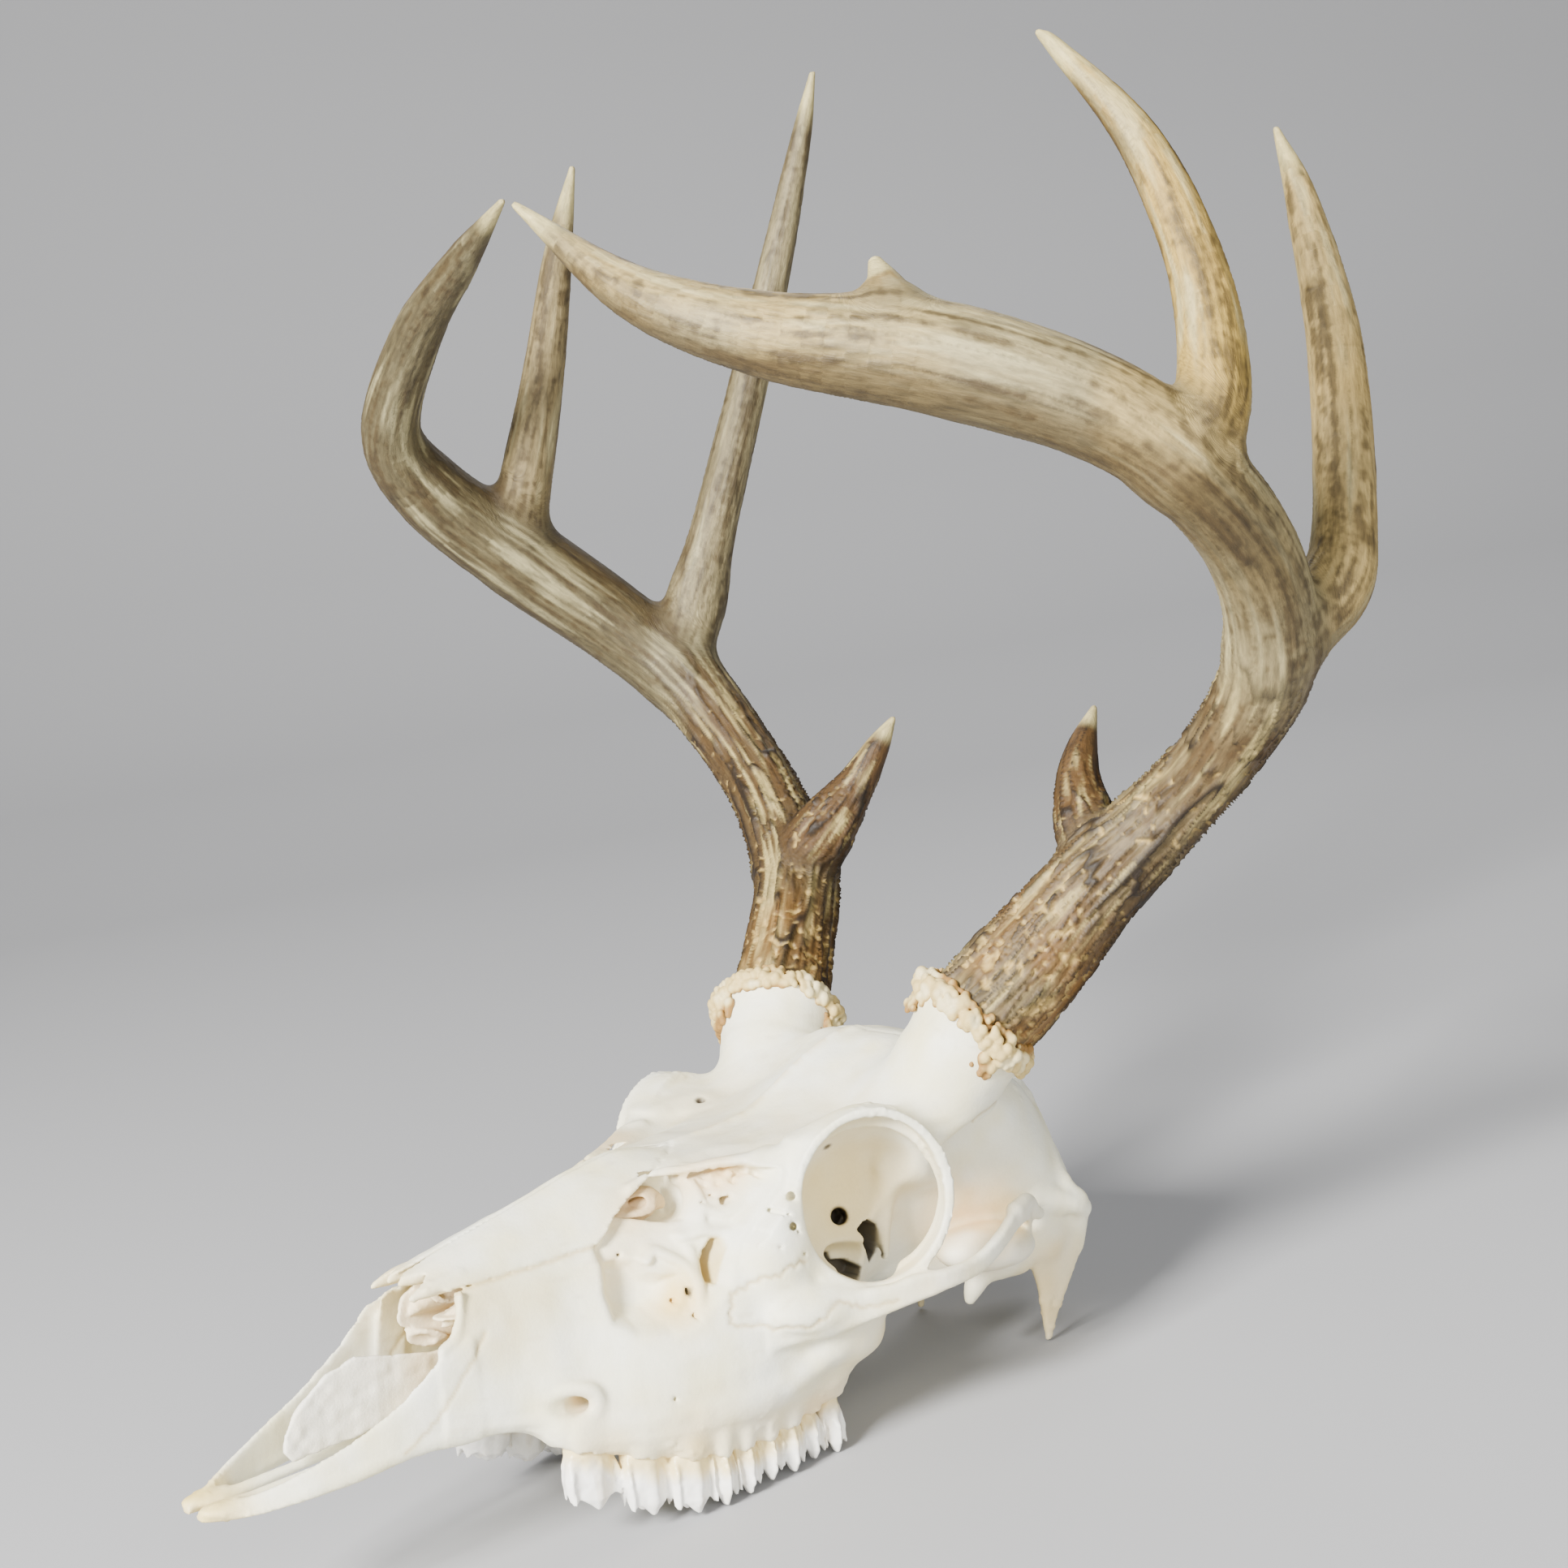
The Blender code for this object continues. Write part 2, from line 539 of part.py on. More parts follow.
def part_off(skull, name, outline, low, high, cutters):
    """Take the piece inside a side outline off the skull. Returns the piece and the rest."""
    inset = (low + GAP / 2, high) if high > 0 else (low, high - GAP / 2)
    outset = (low - GAP / 2, high) if high > 0 else (low, high + GAP / 2)
    inside = slab(widened(outline, -GAP / 2), *inset, cutters, name + " inside")
    around = slab(widened(outline, GAP / 2), *outset, cutters, name + " around")
    piece = boolean(duplicate(skull, name), inside, "INTERSECT")
    rest = boolean(skull, around, "DIFFERENCE")
    return keep_largest_body(piece), rest


def sliced(thing, name, point, way):
    """A copy of what lies on the side of a plane that `way` points to, with the cut closed."""
    piece = duplicate(thing, name)
    bm = bmesh.new()
    bm.from_mesh(piece.data)
    whole = [*bm.verts, *bm.edges, *bm.faces]
    cut = bmesh.ops.bisect_plane(bm, geom=whole, plane_co=point, plane_no=way, clear_inner=True)
    rim = [part for part in cut["geom_cut"] if isinstance(part, bmesh.types.BMEdge)]
    bmesh.ops.edgenet_fill(bm, edges=rim)
    bmesh.ops.recalc_face_normals(bm, faces=bm.faces)
    bm.to_mesh(piece.data)
    bm.free()
    return piece


def tooth_lobes(tooth, side, group):
    """The lobes of one cheek tooth, each a tapering block with its edge on the outer side."""
    sign = SIDES[side]
    lobes = []
    for i in range(tooth.lobes):
        shift = (i - (tooth.lobes - 1) / 2) * tooth.length / tooth.lobes
        tip = tooth.z + TOOTH_RISE * shift
        rings = []
        for drop, length, width, outward in LOBE:
            ring = []
            for k in range(8):
                turn = 2 * math.pi * (k + 0.5) / 8
                across = math.copysign(abs(math.cos(turn)) ** 0.7, math.cos(turn))
                along = math.copysign(abs(math.sin(turn)) ** 0.7, math.sin(turn))
                x = tooth.x + outward + across * width * tooth.width / 2
                y = tooth.y + shift + along * length * tooth.length / tooth.lobes / 2
                ring.append((sign * x, y, TOOTH_ROOT + (tip - TOOTH_ROOT) * drop))
            rings.append(ring)
        lobes.append(loft(rings, "lobe", group))
    return lobes


def skull_pieces(group, cutters):
    """The bones of the skull, by name."""
    skull = fused_skull(group, cutters)
    for side in SIDES:
        centre, axis = burr_place(side)
        middle = centre + axis * (CLEAR_LENGTH / 2 - BURR_CORE / 2 - GAP)
        above = disc(middle, axis, (CLEAR_RADIUS, CLEAR_RADIUS), CLEAR_LENGTH, cutters)
        skull = boolean(skull, above, "DIFFERENCE")
    half = VOMER_THICKNESS / 2
    pieces = {"vomer": slab(VOMER, -half, half, group, "vomer")}
    slot = slab(widened(VOMER, GAP), -half - GAP, half + GAP, cutters, "vomer's slot")
    skull = boolean(skull, slot, "DIFFERENCE")
    for bone in BONES:
        if not bone.paired:
            piece, skull = part_off(skull, bone.name, bone.outline, bone.inner, bone.outer, cutters)
            pieces[bone.name] = piece
            continue
        for side, low, high in (("left", bone.inner, bone.outer), ("right", -bone.outer, -bone.inner)):
            name = side + "_" + bone.name
            pieces[name], skull = part_off(skull, name, bone.outline, low, high, cutters)
    for side, sign in SIDES.items():
        name = side + "_maxilla"
        jaw = keep_largest_body(sliced(skull, name, (sign * GAP / 2, 0, 0), (sign, 0, 0)))
        for tooth in TEETH:
            for lobe in tooth_lobes(tooth, side, cutters):
                jaw = boolean(jaw, lobe, "UNION")
        pieces[name] = jaw
    bpy.data.objects.remove(skull)
    return pieces


# ================================================================== antlers
def burr_place(side):
    """The middle of the burr and the way the antler leaves it."""
    before, middle, after = (Vector(row[:3]) for row in BEAM[side][BURR_POINT - 1:BURR_POINT + 2])
    return middle, (after - before).normalized()


def beam_rows(side):
    centre, axis = burr_place(side)
    start = centre + axis * BURR_CORE / 2
    return [(*start, BEAM[side][BURR_POINT][3] - BEAM_INSET), *BEAM[side][BURR_POINT + 1:]]


def burr(side, group, cutters):
    """The knobby ring where the antler starts, without what the beam and the stalk fill."""
    centre, axis = burr_place(side)
    turn = axis.to_track_quat("Z", "Y").to_matrix()
    lumps = [disc(centre, axis, (BURR_RADIUS, BURR_RADIUS), BURR_CORE, group)]
    for i in range(BURR_KNOBS):
        angle = 2 * math.pi * i / BURR_KNOBS
        size = KNOB_RADIUS * (1 + 0.22 * math.sin(3.1 * i + SIDES[side]))
        out = Vector((math.cos(angle), math.sin(angle), 0)) * BURR_RADIUS
        out.z = 1.6 * math.sin(2.3 * i)
        lumps.append(ellipsoid(centre + turn @ out, (size, size, size), group))
    ring = thin_out(remesh(join(lumps, side + "_burr", group), VOXEL), BURR_FACES)
    beam = beam_rows(side)
    start = (*(Vector(beam[0][:3]) - axis * GAP), beam[0][3])
    ring = boolean(ring, tube([start, *beam[1:4]], cutters, "beam's foot", GAP, roundness=5), "DIFFERENCE")
    foot = centre - axis * (CLEAR_LENGTH + BURR_CORE) / 2
    stalk = disc(foot, axis, (STALK_HOLE, STALK_HOLE), CLEAR_LENGTH, cutters, "stalk")
    ring = boolean(ring, stalk, "DIFFERENCE")
    return keep_largest_body(ring)


def antler_pieces(side, group, cutters):
    """The burr, the beam between its forks and the tines of one antler, by name."""
    rows = beam_rows(side)
    beam = tube(rows, group, "beam")
    pieces = {}
    for name, tine_rows in TINES[side].items():
        tine = tube(tine_rows, group, side + "_" + name)
        around = tube(rows, cutters, name + " root", GAP)
        pieces[name] = keep_largest_body(boolean(tine, around, "DIFFERENCE"))
    for name, fork in zip(("lower_beam", "middle_beam"), FORK_POINTS):
        before, here, after = (Vector(row[:3]) for row in BEAM[side][fork - 1:fork + 2])
        way = (after - before).normalized()
        pieces[name] = sliced(beam, side + "_" + name, here - way * GAP / 2, -way)
        rest = sliced(beam, "beam", here + way * GAP / 2, way)
        bpy.data.objects.remove(beam)
        beam = rest
    beam.name = side + "_upper_beam"
    pieces["upper_beam"] = beam
    pieces["burr"] = burr(side, group, cutters)
    return {side + "_" + name: piece for name, piece in pieces.items()}


# ================================================================== the whole
def finish_of(name):
    if "burr" in name:
        return BURR_CREAM
    if "brow_tine" in name or "lower_beam" in name:
        return ANTLER_DARK
    if "beam" in name:
        return ANTLER_TAUPE
    if "tine" in name:
        return ANTLER_TAN
    return BONE_CREAM if "vomer" in name or "temporal" in name else BONE_WHITE


def lay_down(pieces, group):
    """Turn the skull as it rests, with the floor at Z = 0 and its middle above the origin."""
    rise = RESTING_PROCESS[1] - RESTING_CUSP[1]
    pitch = -math.atan2(rise, RESTING_PROCESS[0] - RESTING_CUSP[0])
    pose = Matrix.Rotation(pitch, 4, "X") @ Matrix.Scale(MM, 4)
    points = [pose @ vertex.co for piece in pieces.values() for vertex in piece.data.vertices]
    low = Vector([min(point[i] for point in points) for i in range(3)])
    high = Vector([max(point[i] for point in points) for i in range(3)])
    rest = bpy.data.objects.new("rest_pose", None)
    rest.rotation_euler = (pitch, 0, 0)
    rest.location = (-(low.x + high.x) / 2, -(low.y + high.y) / 2, -low.z)
    group.objects.link(rest)
    for piece in pieces.values():
        piece.data.transform(Matrix.Scale(MM, 4))
        piece.parent = rest
    for cutter in bpy.data.collections["cutters"].objects:
        cutter.data.transform(Matrix.Scale(MM, 4))
        cutter.parent = rest


def main():
    clear_scene()
    parts = collection("deer_skull")
    cutters = collection("cutters")
    pieces = skull_pieces(parts, cutters)
    for side in SIDES:
        pieces.update(antler_pieces(side, parts, cutters))
    for name, piece in pieces.items():
        piece.name = name
        piece.data.materials.append(material(name, finish_of(name)))
        piece.data.shade_smooth()
        piece.data.set_sharp_from_angle(angle=math.radians(50))
    lay_down(pieces, parts)


main()
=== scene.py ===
"""How the deer skull looks: its bones, teeth and antlers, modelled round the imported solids.

The shapes are drawn in the skull's own frame, in millimetres, as in the solids' source. X runs to
the animal's left and Y from the tip of the nose to the back of the head. Z runs up from the biting
plane of the cheek teeth. Each piece is a field of distances on a grid, in which rounded forms are
joined and cut. Its zero surface becomes the mesh, which is then turned as the skull rests.
"""

import itertools
import math
from collections import namedtuple

import bpy
import numpy as np
import openvdb
from mathutils import Matrix, Vector


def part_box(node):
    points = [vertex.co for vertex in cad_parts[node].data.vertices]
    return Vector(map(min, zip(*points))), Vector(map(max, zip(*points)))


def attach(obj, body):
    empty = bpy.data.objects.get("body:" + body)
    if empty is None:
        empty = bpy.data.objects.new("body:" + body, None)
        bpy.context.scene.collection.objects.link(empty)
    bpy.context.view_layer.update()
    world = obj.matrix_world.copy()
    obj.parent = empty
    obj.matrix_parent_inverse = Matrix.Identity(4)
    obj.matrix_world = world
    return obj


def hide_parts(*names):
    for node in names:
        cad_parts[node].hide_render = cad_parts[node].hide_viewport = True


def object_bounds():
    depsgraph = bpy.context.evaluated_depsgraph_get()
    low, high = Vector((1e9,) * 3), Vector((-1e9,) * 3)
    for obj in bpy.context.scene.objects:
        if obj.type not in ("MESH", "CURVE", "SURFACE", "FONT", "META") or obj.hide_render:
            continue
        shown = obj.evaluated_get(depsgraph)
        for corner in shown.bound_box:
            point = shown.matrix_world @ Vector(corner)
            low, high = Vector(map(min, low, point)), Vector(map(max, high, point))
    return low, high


# ---- grain of the grids, in mm
SKULL_VOXEL = 0.65
NOSE_VOXEL = 0.5
TOOTH_VOXEL = 0.4
ANTLER_VOXEL = 0.65
BURR_VOXEL = 0.45
FAR = 30.0
BAND = 3.0                # grid steps kept on either side of a surface
CRUMB = 0.02              # share of the points under which a loose body is left out
SKIN_BAND = 9.0           # mm on either side of a skin in which its distance is known

# ---- how it lies
MM = 0.001
SIDES = {"left": 1, "right": -1}      # sign of X there
RESTING_CUSP = (165.6, 3.6)           # (Y, Z) of the last molars' tips
RESTING_PROCESS = (247.3, 17)       # (Y, Z) of the tips of the processes under the back
PITCH = -math.atan2(RESTING_PROCESS[1] - RESTING_CUSP[1], RESTING_PROCESS[0] - RESTING_CUSP[0])
TURN = np.array(Matrix.Rotation(PITCH, 3, "X"))

# ---- camera, in the skull's frame
CAMERA_PLACE = (603.7, -247.45, 206.84)
CAMERA_AZIMUTH = math.radians(54.3886)
CAMERA_ELEVATION = math.radians(2.1003)
CAMERA_ROLL = math.radians(-2.7293)
CAMERA_LENS = 61.42
SENSOR = 36.0

# ---- trunk of the skull
Station = namedtuple("Station", "y roof crown shoulder cheek edge floor")
TRUNK = [Station(*row) for row in [
    (44, 59.8, (4, 58.9), (8.5, 57), (12.5, 48), (15.6, 24.5), 30),
    (61, 65, (5.5, 63.9), (12, 60.2), (16.6, 49), (19.2, 23.8), 28),
    (66, 67, (6, 65.6), (13.5, 60.5), (18, 48), (20, 24), 28),
    (80, 72.4, (8, 69.4), (15, 62.3), (21, 46), (22.6, 23.8), 27),
    (88, 75.2, (8.5, 71.5), (16, 63.6), (23.5, 45), (27.5, 19), 24),
    (97, 78.4, (9, 73.8), (17, 65.2), (26.5, 42), (31, 17), 22),
    (110, 83, (10, 78.2), (19, 69.8), (32, 46), (35.5, 16), 22),
    (124, 86.4, (12, 81), (21.5, 75), (36.5, 50), (38, 16), 22),
    (138, 85, (17, 83.4), (27.4, 81), (41, 56), (39.5, 16.5), 22),
    (147, 86.2, (20, 85), (34.8, 83), (43, 60), (39.3, 17.2), 22),
    (156, 87.4, (25, 85.4), (42, 86.6), (43, 60), (39, 18.5), 22),
    (169, 91, (27, 88.2), (46, 92.5), (42, 62), (37.5, 21.5), 26),
    (182, 99.8, (26, 92), (48.5, 93), (36, 70), (24, 38), 42),
    (193, 106, (24, 99), (46, 92), (34, 75), (19, 43), 44),
    (204, 109.2, (20, 105.8), (39, 90), (34.5, 72), (19, 44), 43),
    (216, 108.6, (18, 106.4), (36.5, 94), (37, 72), (23, 43), 41.5),
    (230, 104.4, (18, 102.4), (34, 94.5), (38.5, 70), (25, 42), 40),
    (243, 97.5, (15, 94.5), (31, 86.5), (37.8, 63), (25, 41), 39),
    (255, 88, (13, 83.5), (25, 74), (34, 57), (23, 40), 38),
    (263, 75, (11, 70), (18, 63), (24, 53), (18, 42), 39),
]]
WALL = 2.0                            # thickness of the bone round the nose's cavity

# ---- orbits and cheek bones
ORBIT_CENTRE = np.array((52, 170.3, 73.2))
ORBIT_RADII = (19.4, 21.7)
ORBIT_FACING = 22.0                   # degrees that the opening turns from sideways to forward
RIM_THICKNESS = 2.4
RIM_WIDTH = 9.0
RIM_DROP = 1.1
ARCH = [
    (42, 141, 41), (48, 153, 43), (53.5, 165, 45.6), (57.5, 177, 48.5), (59.5, 188, 50),
    (58, 199, 51.6), (55, 209, 55.4), (51, 218, 59.6), (46.5, 226, 60.8), (40, 232, 57),
]
ARCH_HEIGHTS = [10, 9, 8.5, 7.5, 5.5, 5, 5, 6, 7, 8]

# ---- nose
WALL_FOOT = [
    (4, 0.4, 14.4), (10, 12, 14.6), (14, 24, 16.5), (16, 36, 18.6), (17.6, 48, 21.3),
    (18.8, 58, 22.8), (19.6, 68, 23.6),
]
WALL_TOP = {
    "left": [15.4, 19.2, 23.4, 28.4, 35.2, 43.3, 48],
    "right": [16, 22, 28.2, 35.2, 43.8, 53.4, 57],
}
VOMER = [
    (27, 22.4), (24.8, 25), (25.2, 29), (27.5, 33.4), (32, 38), (37, 42.2), (45, 45), (66, 42.4),
    (110, 45), (110, 26), (40, 22.6),
]
VOMER_HALF = 1.5                      # half the thickness of that bone in the solids
NOSTRIL = {
    "left": [(40, 57), (55, 58.2), (62.4, 61.2), (66.2, 59.2), (65.4, 54), (63.2, 49.3), (58, 46),
             (50, 39.8), (45, 33.8), (38, 29.4)],
    "right": [(40, 57), (55, 58.2), (60, 58.4), (62.5, 57.6), (55.5, 51), (47, 43), (38, 36)],
}
NASAL_FRONT = [                       # front edge of a nasal bone from above, with its two prongs
    (0, 60.5), (1.2, 59), (3, 57), (4.6, 59.6), (6.2, 62.6), (8.6, 60.4), (10.4, 56),
    (12.2, 60), (13.6, 66), (30, 66), (30, 40), (0, 40),
]

NASAL_PRONGS = [
    [(4, 70, 64.2, 2.6), (3.5, 63, 62.9, 2), (3, 57.2, 61.6, 0.8)],
    [(10, 70, 62.2, 2.4), (10.5, 62, 60.7, 1.9), (10.3, 56.4, 59.2, 0.7)],
]
FLANGE = {                            # thicker edge of the upper jaw behind the nostril
    "left": [(15.6, 67.2, 59.4), (16.4, 66.6, 54), (17, 64.8, 49.2), (17.4, 60.6, 46.4)],
    "right": [(13.6, 66, 60.4), (14.4, 67, 59), (15, 68, 57.4)],
}

# ---- hollows before the orbit
VACUITY = [
    (105, 64.6), (109, 68.3), (111.6, 71.4), (116, 74.8), (120.4, 77.8), (124.2, 80.7),
    (127.5, 80.4), (131.6, 81.2), (135.5, 82.5), (139.6, 82.9), (143.4, 83.2), (145.8, 82),
    (149.4, 81.6), (148.4, 78.6), (144, 73.8), (139.6, 69.2), (135.8, 64.6), (133.4, 59.8),
    (131.6, 54.2), (127, 50), (122.4, 46.4), (117, 44.6), (109.5, 45.2), (104.8, 48),
    (104.2, 54), (105.6, 61),
]
SCOOP = [
    (106.5, 61.1), (104.8, 54.7), (105.2, 48.5), (109.2, 46.1), (115.7, 46.1), (119.8, 48.3),
    (122.3, 52), (123.4, 57.2), (120, 57.6), (117.2, 58.8), (114.6, 61.2), (110.4, 62.4),
]
BIG_HOLE = [
    (124.2, 81), (128.4, 80.8), (131.4, 80), (132, 76.8), (130.8, 73.2), (129.2, 69.3),
    (125.3, 69), (116.5, 70.7), (111.8, 72), (116, 75), (120.4, 78),
]
SMALL_HOLE = [(137.6, 72.4), (139.4, 72.4), (141.2, 74), (140.4, 75), (138.4, 74.4)]
SLOT_HOLE = [
    (134.5, 64.8), (133.1, 65.1), (129.1, 60.1), (128.2, 54.7), (131.1, 54), (132.4, 58.6),
    (134.3, 62.6),
]
DARK_SLOTS = [
    [(123.8, 54), (124.7, 53.8), (125, 52.4), (124.5, 51), (123.9, 51.8)],
    [(123.6, 48.4), (124.6, 48), (124.2, 46), (123.3, 46.6)],
]
# round pits as seen from the side: Y, Z, radius, X of the bottom
PITS = [
    (133.6, 80.2, 1, 19), (136.6, 80.4, 1.4, 21), (140.2, 80.8, 1.5, 23.5),
    (139, 77.9, 0.8, 25), (142.2, 78.6, 0.9, 27), (144.2, 80.8, 1.6, 26.5),
    (147.4, 80, 1.3, 29.5), (136.2, 77.6, 0.9, 23), (136.8, 75.1, 0.5, 24),
    (133.6, 73.8, 0.5, 22), (114.9, 28, 0.55, 31), (150.4, 60.6, 0.5, 39), (145.6, 71.6, 0.6, 37),
    (147, 71.2, 0.5, 37.5), (148.8, 66.4, 0.5, 38.5), (143.2, 63.5, 0.4, 38),
    (130.6, 61.8, 0.6, 27), (121, 50.6, 0.5, 24), (111.6, 62.6, 0.6, 15),
]
# ridges in the hollows: line seen from the side, radius, depth under the surface
STRUTS = [
    ([(132.6, 80.6), (133.4, 76), (132.2, 71.4), (130.4, 67.4), (126.4, 66)], 1.3, 2.9),
    ([(130.4, 67.4), (133.6, 67), (137.2, 66.6)], 1.1, 2.9),
    ([(133.6, 72.4), (137, 71), (141.4, 72.6), (146, 76.4)], 0.9, 3.1),
    ([(116.4, 61.2), (118.8, 63.2), (121.4, 62), (124.8, 59.4), (126.2, 55), (126, 49.5)], 1.3, 2.6),
    ([(117.5, 61), (117.4, 58.8), (120, 58), (124, 58)], 0.6, 4.2),
    ([(127.4, 63), (126.8, 58), (126.6, 52), (125.4, 47.4)], 0.9, 3),
]
ORBIT_SLIT = [
    (183.8, 62.2), (187.4, 60), (188.4, 54.6), (189.8, 51.4), (188.2, 49), (184.8, 52.4),
    (181.4, 56.3), (180.4, 59.8),
]
ORBIT_BACK = [(186.6, 52.8), (190.4, 50.8), (196.5, 50.4), (195, 54.6), (188.6, 56.4)]
ORBIT_FLOOR = [
    (166.4, 55.4), (170.2, 54.6), (174.6, 53.4), (175.5, 51.3), (178.9, 51.2), (182.1, 48.9),
    (181.4, 46.8), (175.3, 46.9), (169.4, 51),
]

# ---- cheek teeth
Tooth = namedtuple("Tooth", "x y z length width lobes")
TEETH = [Tooth(*row) for row in [
    (25.8, 95.1, 2.6, 15.2, 10.6, 1),
    (29.4, 108.8, -1.4, 12.6, 11.6, 1),
    (32.4, 120.7, -2.7, 12, 12.2, 1),
    (33, 132.4, -1.4, 14.4, 13, 2),
    (32.3, 147.2, 1.6, 14.8, 13.4, 2),
    (31.2, 162, 3.2, 14.4, 12.4, 2),
]]
TOOTH_ROOT = 21.0
TOOTH_RISE = 0.12
MARGIN = [                            # (Y, Z) of the bone's edge round the teeth
    (86, 19), (90, 17.6), (94, 17), (101, 14.4), (113, 12.4), (122, 11), (130, 10.2),
    (143, 11.6), (153.5, 14.2), (160, 16.2), (168.4, 19.2), (174, 24),
]

# ---- antlers
BEAM = {
    "left": [
        (43, 207.4, 106.8, 15), (45.6, 212.2, 114, 15.2), (54.8, 224.2, 129, 14.5),
        (68, 238, 150, 12.4), (85.6, 249.5, 169.6, 10.7), (106, 251.5, 187, 10.2),
        (128, 245.5, 208, 11.7), (143, 226.5, 232, 11.1), (151.5, 198, 252, 11.3),
        (142, 177, 268, 12.4), (119, 148, 281.4, 13.1), (91.5, 119.5, 289.3, 9.9),
        (65.6, 100.7, 302, 6.4), (34.5, 87.9, 327, 0.9)],
    "right": [
        (-41.4, 206, 103.6, 14), (-44.2, 210.2, 109.8, 14.2), (-57.3, 225.2, 128.3, 12.9),
        (-70.5, 238.3, 146, 12.6), (-90, 245.4, 167, 11.2), (-111, 248.5, 185, 10.9),
        (-134, 245.3, 207.5, 12.2), (-149, 226.7, 229.6, 13.2), (-157, 197, 252, 13.7),
        (-157.5, 165, 273.5, 12), (-146.6, 145.7, 292.3, 9.2), (-109.7, 137, 317.3, 7.3),
        (-71, 131.2, 332, 4.8), (-33.3, 123.6, 342, 0.9)],
}
TINES = {
    "left": {
        "brow": [(71, 241, 152, 10), (60, 243.5, 162.5, 8.5), (52.8, 246.7, 175.5, 6),
                 (49, 252.2, 186, 4.1), (46.5, 259.3, 196.4, 0.9)],
        "second": [(131, 243, 211, 12), (138.5, 257, 223.7, 9.4), (135.8, 266.1, 242.1, 8),
                   (123.5, 278.6, 287.2, 7.1), (108.9, 284.3, 327.7, 4.3),
                   (99.9, 285.1, 348.7, 0.9)],
        "third": [(151, 193, 253.5, 11), (154.4, 202.4, 267.3, 8.8), (146.3, 208, 299, 7.1),
                  (130.9, 205.4, 333.2, 5.3), (113.4, 196.4, 358, 2.3), (109.1, 193.9, 363, 0.9)],
        "fourth": [(115.5, 144, 283.5, 9), (113.6, 141.1, 294, 5.7), (111.2, 138.6, 303.6, 1.8)],
    },
    "right": {
        "brow": [(-73, 239, 149, 10), (-61, 241.3, 160, 9.3), (-54.2, 250, 174, 6),
                 (-49.3, 255.9, 186.3, 3.8), (-45.9, 260.1, 195, 0.9)],
        "second": [(-138, 242, 214, 13), (-134.2, 248.9, 236.4, 10.1),
                   (-128.9, 253.8, 260.2, 7.5), (-112.7, 268.4, 333.3, 5.6),
                   (-102.8, 276.9, 382.3, 3.4), (-98.5, 280.4, 405.4, 0.9)],
        "third": [(-157, 194, 253, 12.5), (-150.5, 194.4, 272.6, 8.6), (-134.3, 194.6, 309.9, 6.5),
                  (-119.2, 193.2, 346.1, 4.3), (-108.3, 193, 369.8, 0.9)],
    },
}
BURR_POINT = 1
PEDICLE = [
    (31, 200, 86, 17), (40, 205, 98, 15.6), (44.4, 210.6, 108.6, 14.8),
    (46.5, 213.3, 114.8, 16),
]
BRANCH_STEPS = 8
FORK_BLEND = 6.5
BROW_BLEND = 5
ROOT_SHARE = 0.72          # of a tine's size at its root inside the beam, against a bulge there


# ==== numbers
NOISE_TABLE = np.random.default_rng(11).uniform(-1, 1, (61, 61, 61))


def noise(points, size, seed):
    """Smooth noise from -1 to 1 at each point, in lumps of one size or of one size per axis."""
    cell = np.asarray(points, float) / size + 1000.0
    whole = np.floor(cell).astype(int)
    part = cell - whole
    part = part * part * (3 - 2 * part)
    total = 0
    for corner in itertools.product((0, 1), repeat=3):
        share = 1
        index = []
        for axis, step in enumerate(corner):
            share = share * (part[:, axis] if step else 1 - part[:, axis])
            index.append((whole[:, axis] + step + 17 * seed * (axis + 1)) % len(NOISE_TABLE))
        total = total + share * NOISE_TABLE[tuple(index)]
    return total


def grid_noise(x, y, z, *layers):
    """The sum of layers of noise, each (strength, size, seed), at the points of a grid."""
    grid = np.broadcast_arrays(x, y, z)
    points = np.stack(grid, -1).reshape(-1, 3)
    total = sum(strength * noise(points, size, seed) for strength, size, seed in layers)
    return total.reshape(grid[0].shape)


def unit(vector):
    return vector / np.linalg.norm(vector)


def unit_rows(rows, least=0.0):
    return rows / (np.linalg.norm(rows, axis=1)[:, None] + least)


def bell(value, width):
    return np.exp(-(value / width) ** 2)


def read(rows, place):
    """The height of a broken line, given as rows of (place, height)."""
    return np.interp(place, *np.transpose(rows))


def folded(points):
    """The points, with those on the right mirrored to the left."""
    return np.column_stack([np.abs(points[:, 0]), points[:, 1:]])


def flipped(rows, sign):
    """Rows that start with X, kept on the left for 1 and mirrored to the right for -1."""
    return [(sign * x, *rest) for x, *rest in rows]


def smooth_step(low, high, value):
    share = np.clip((value - low) / (high - low), 0, 1)
    return share * share * (3 - 2 * share)


def smooth_line(rows, steps):
    """A Catmull-Rom line through the rows, with `steps` stretches between each two."""
    rows = np.asarray(rows, float)
    rows = np.concatenate([[2 * rows[0] - rows[1]], rows, [2 * rows[-1] - rows[-2]]])
    line = []
    for i in range(1, len(rows) - 2):
        a, b, c, d = rows[i - 1:i + 3]
        for t in np.arange(steps) / steps:
            line.append((2 * b + (c - a) * t + (2 * a - 5 * b + 4 * c - d) * t ** 2
                         + (3 * b - a - 3 * c + d) * t ** 3) / 2)
    return np.array([*line, rows[-2]])


def smooth_min(a, b, blend):
    if blend <= 0:
        return np.minimum(a, b)
    share = np.maximum(blend - np.abs(a - b), 0) / blend
    return np.minimum(a, b) - share * share * (blend / 4)


# ==== forms
Part = namedtuple("Part", "low high distance")        # its box, and a function of X, Y and Z
Skin = namedtuple("Skin", "points triangles quads")
THINNEST = 0.4                                        # least radius of a round bar


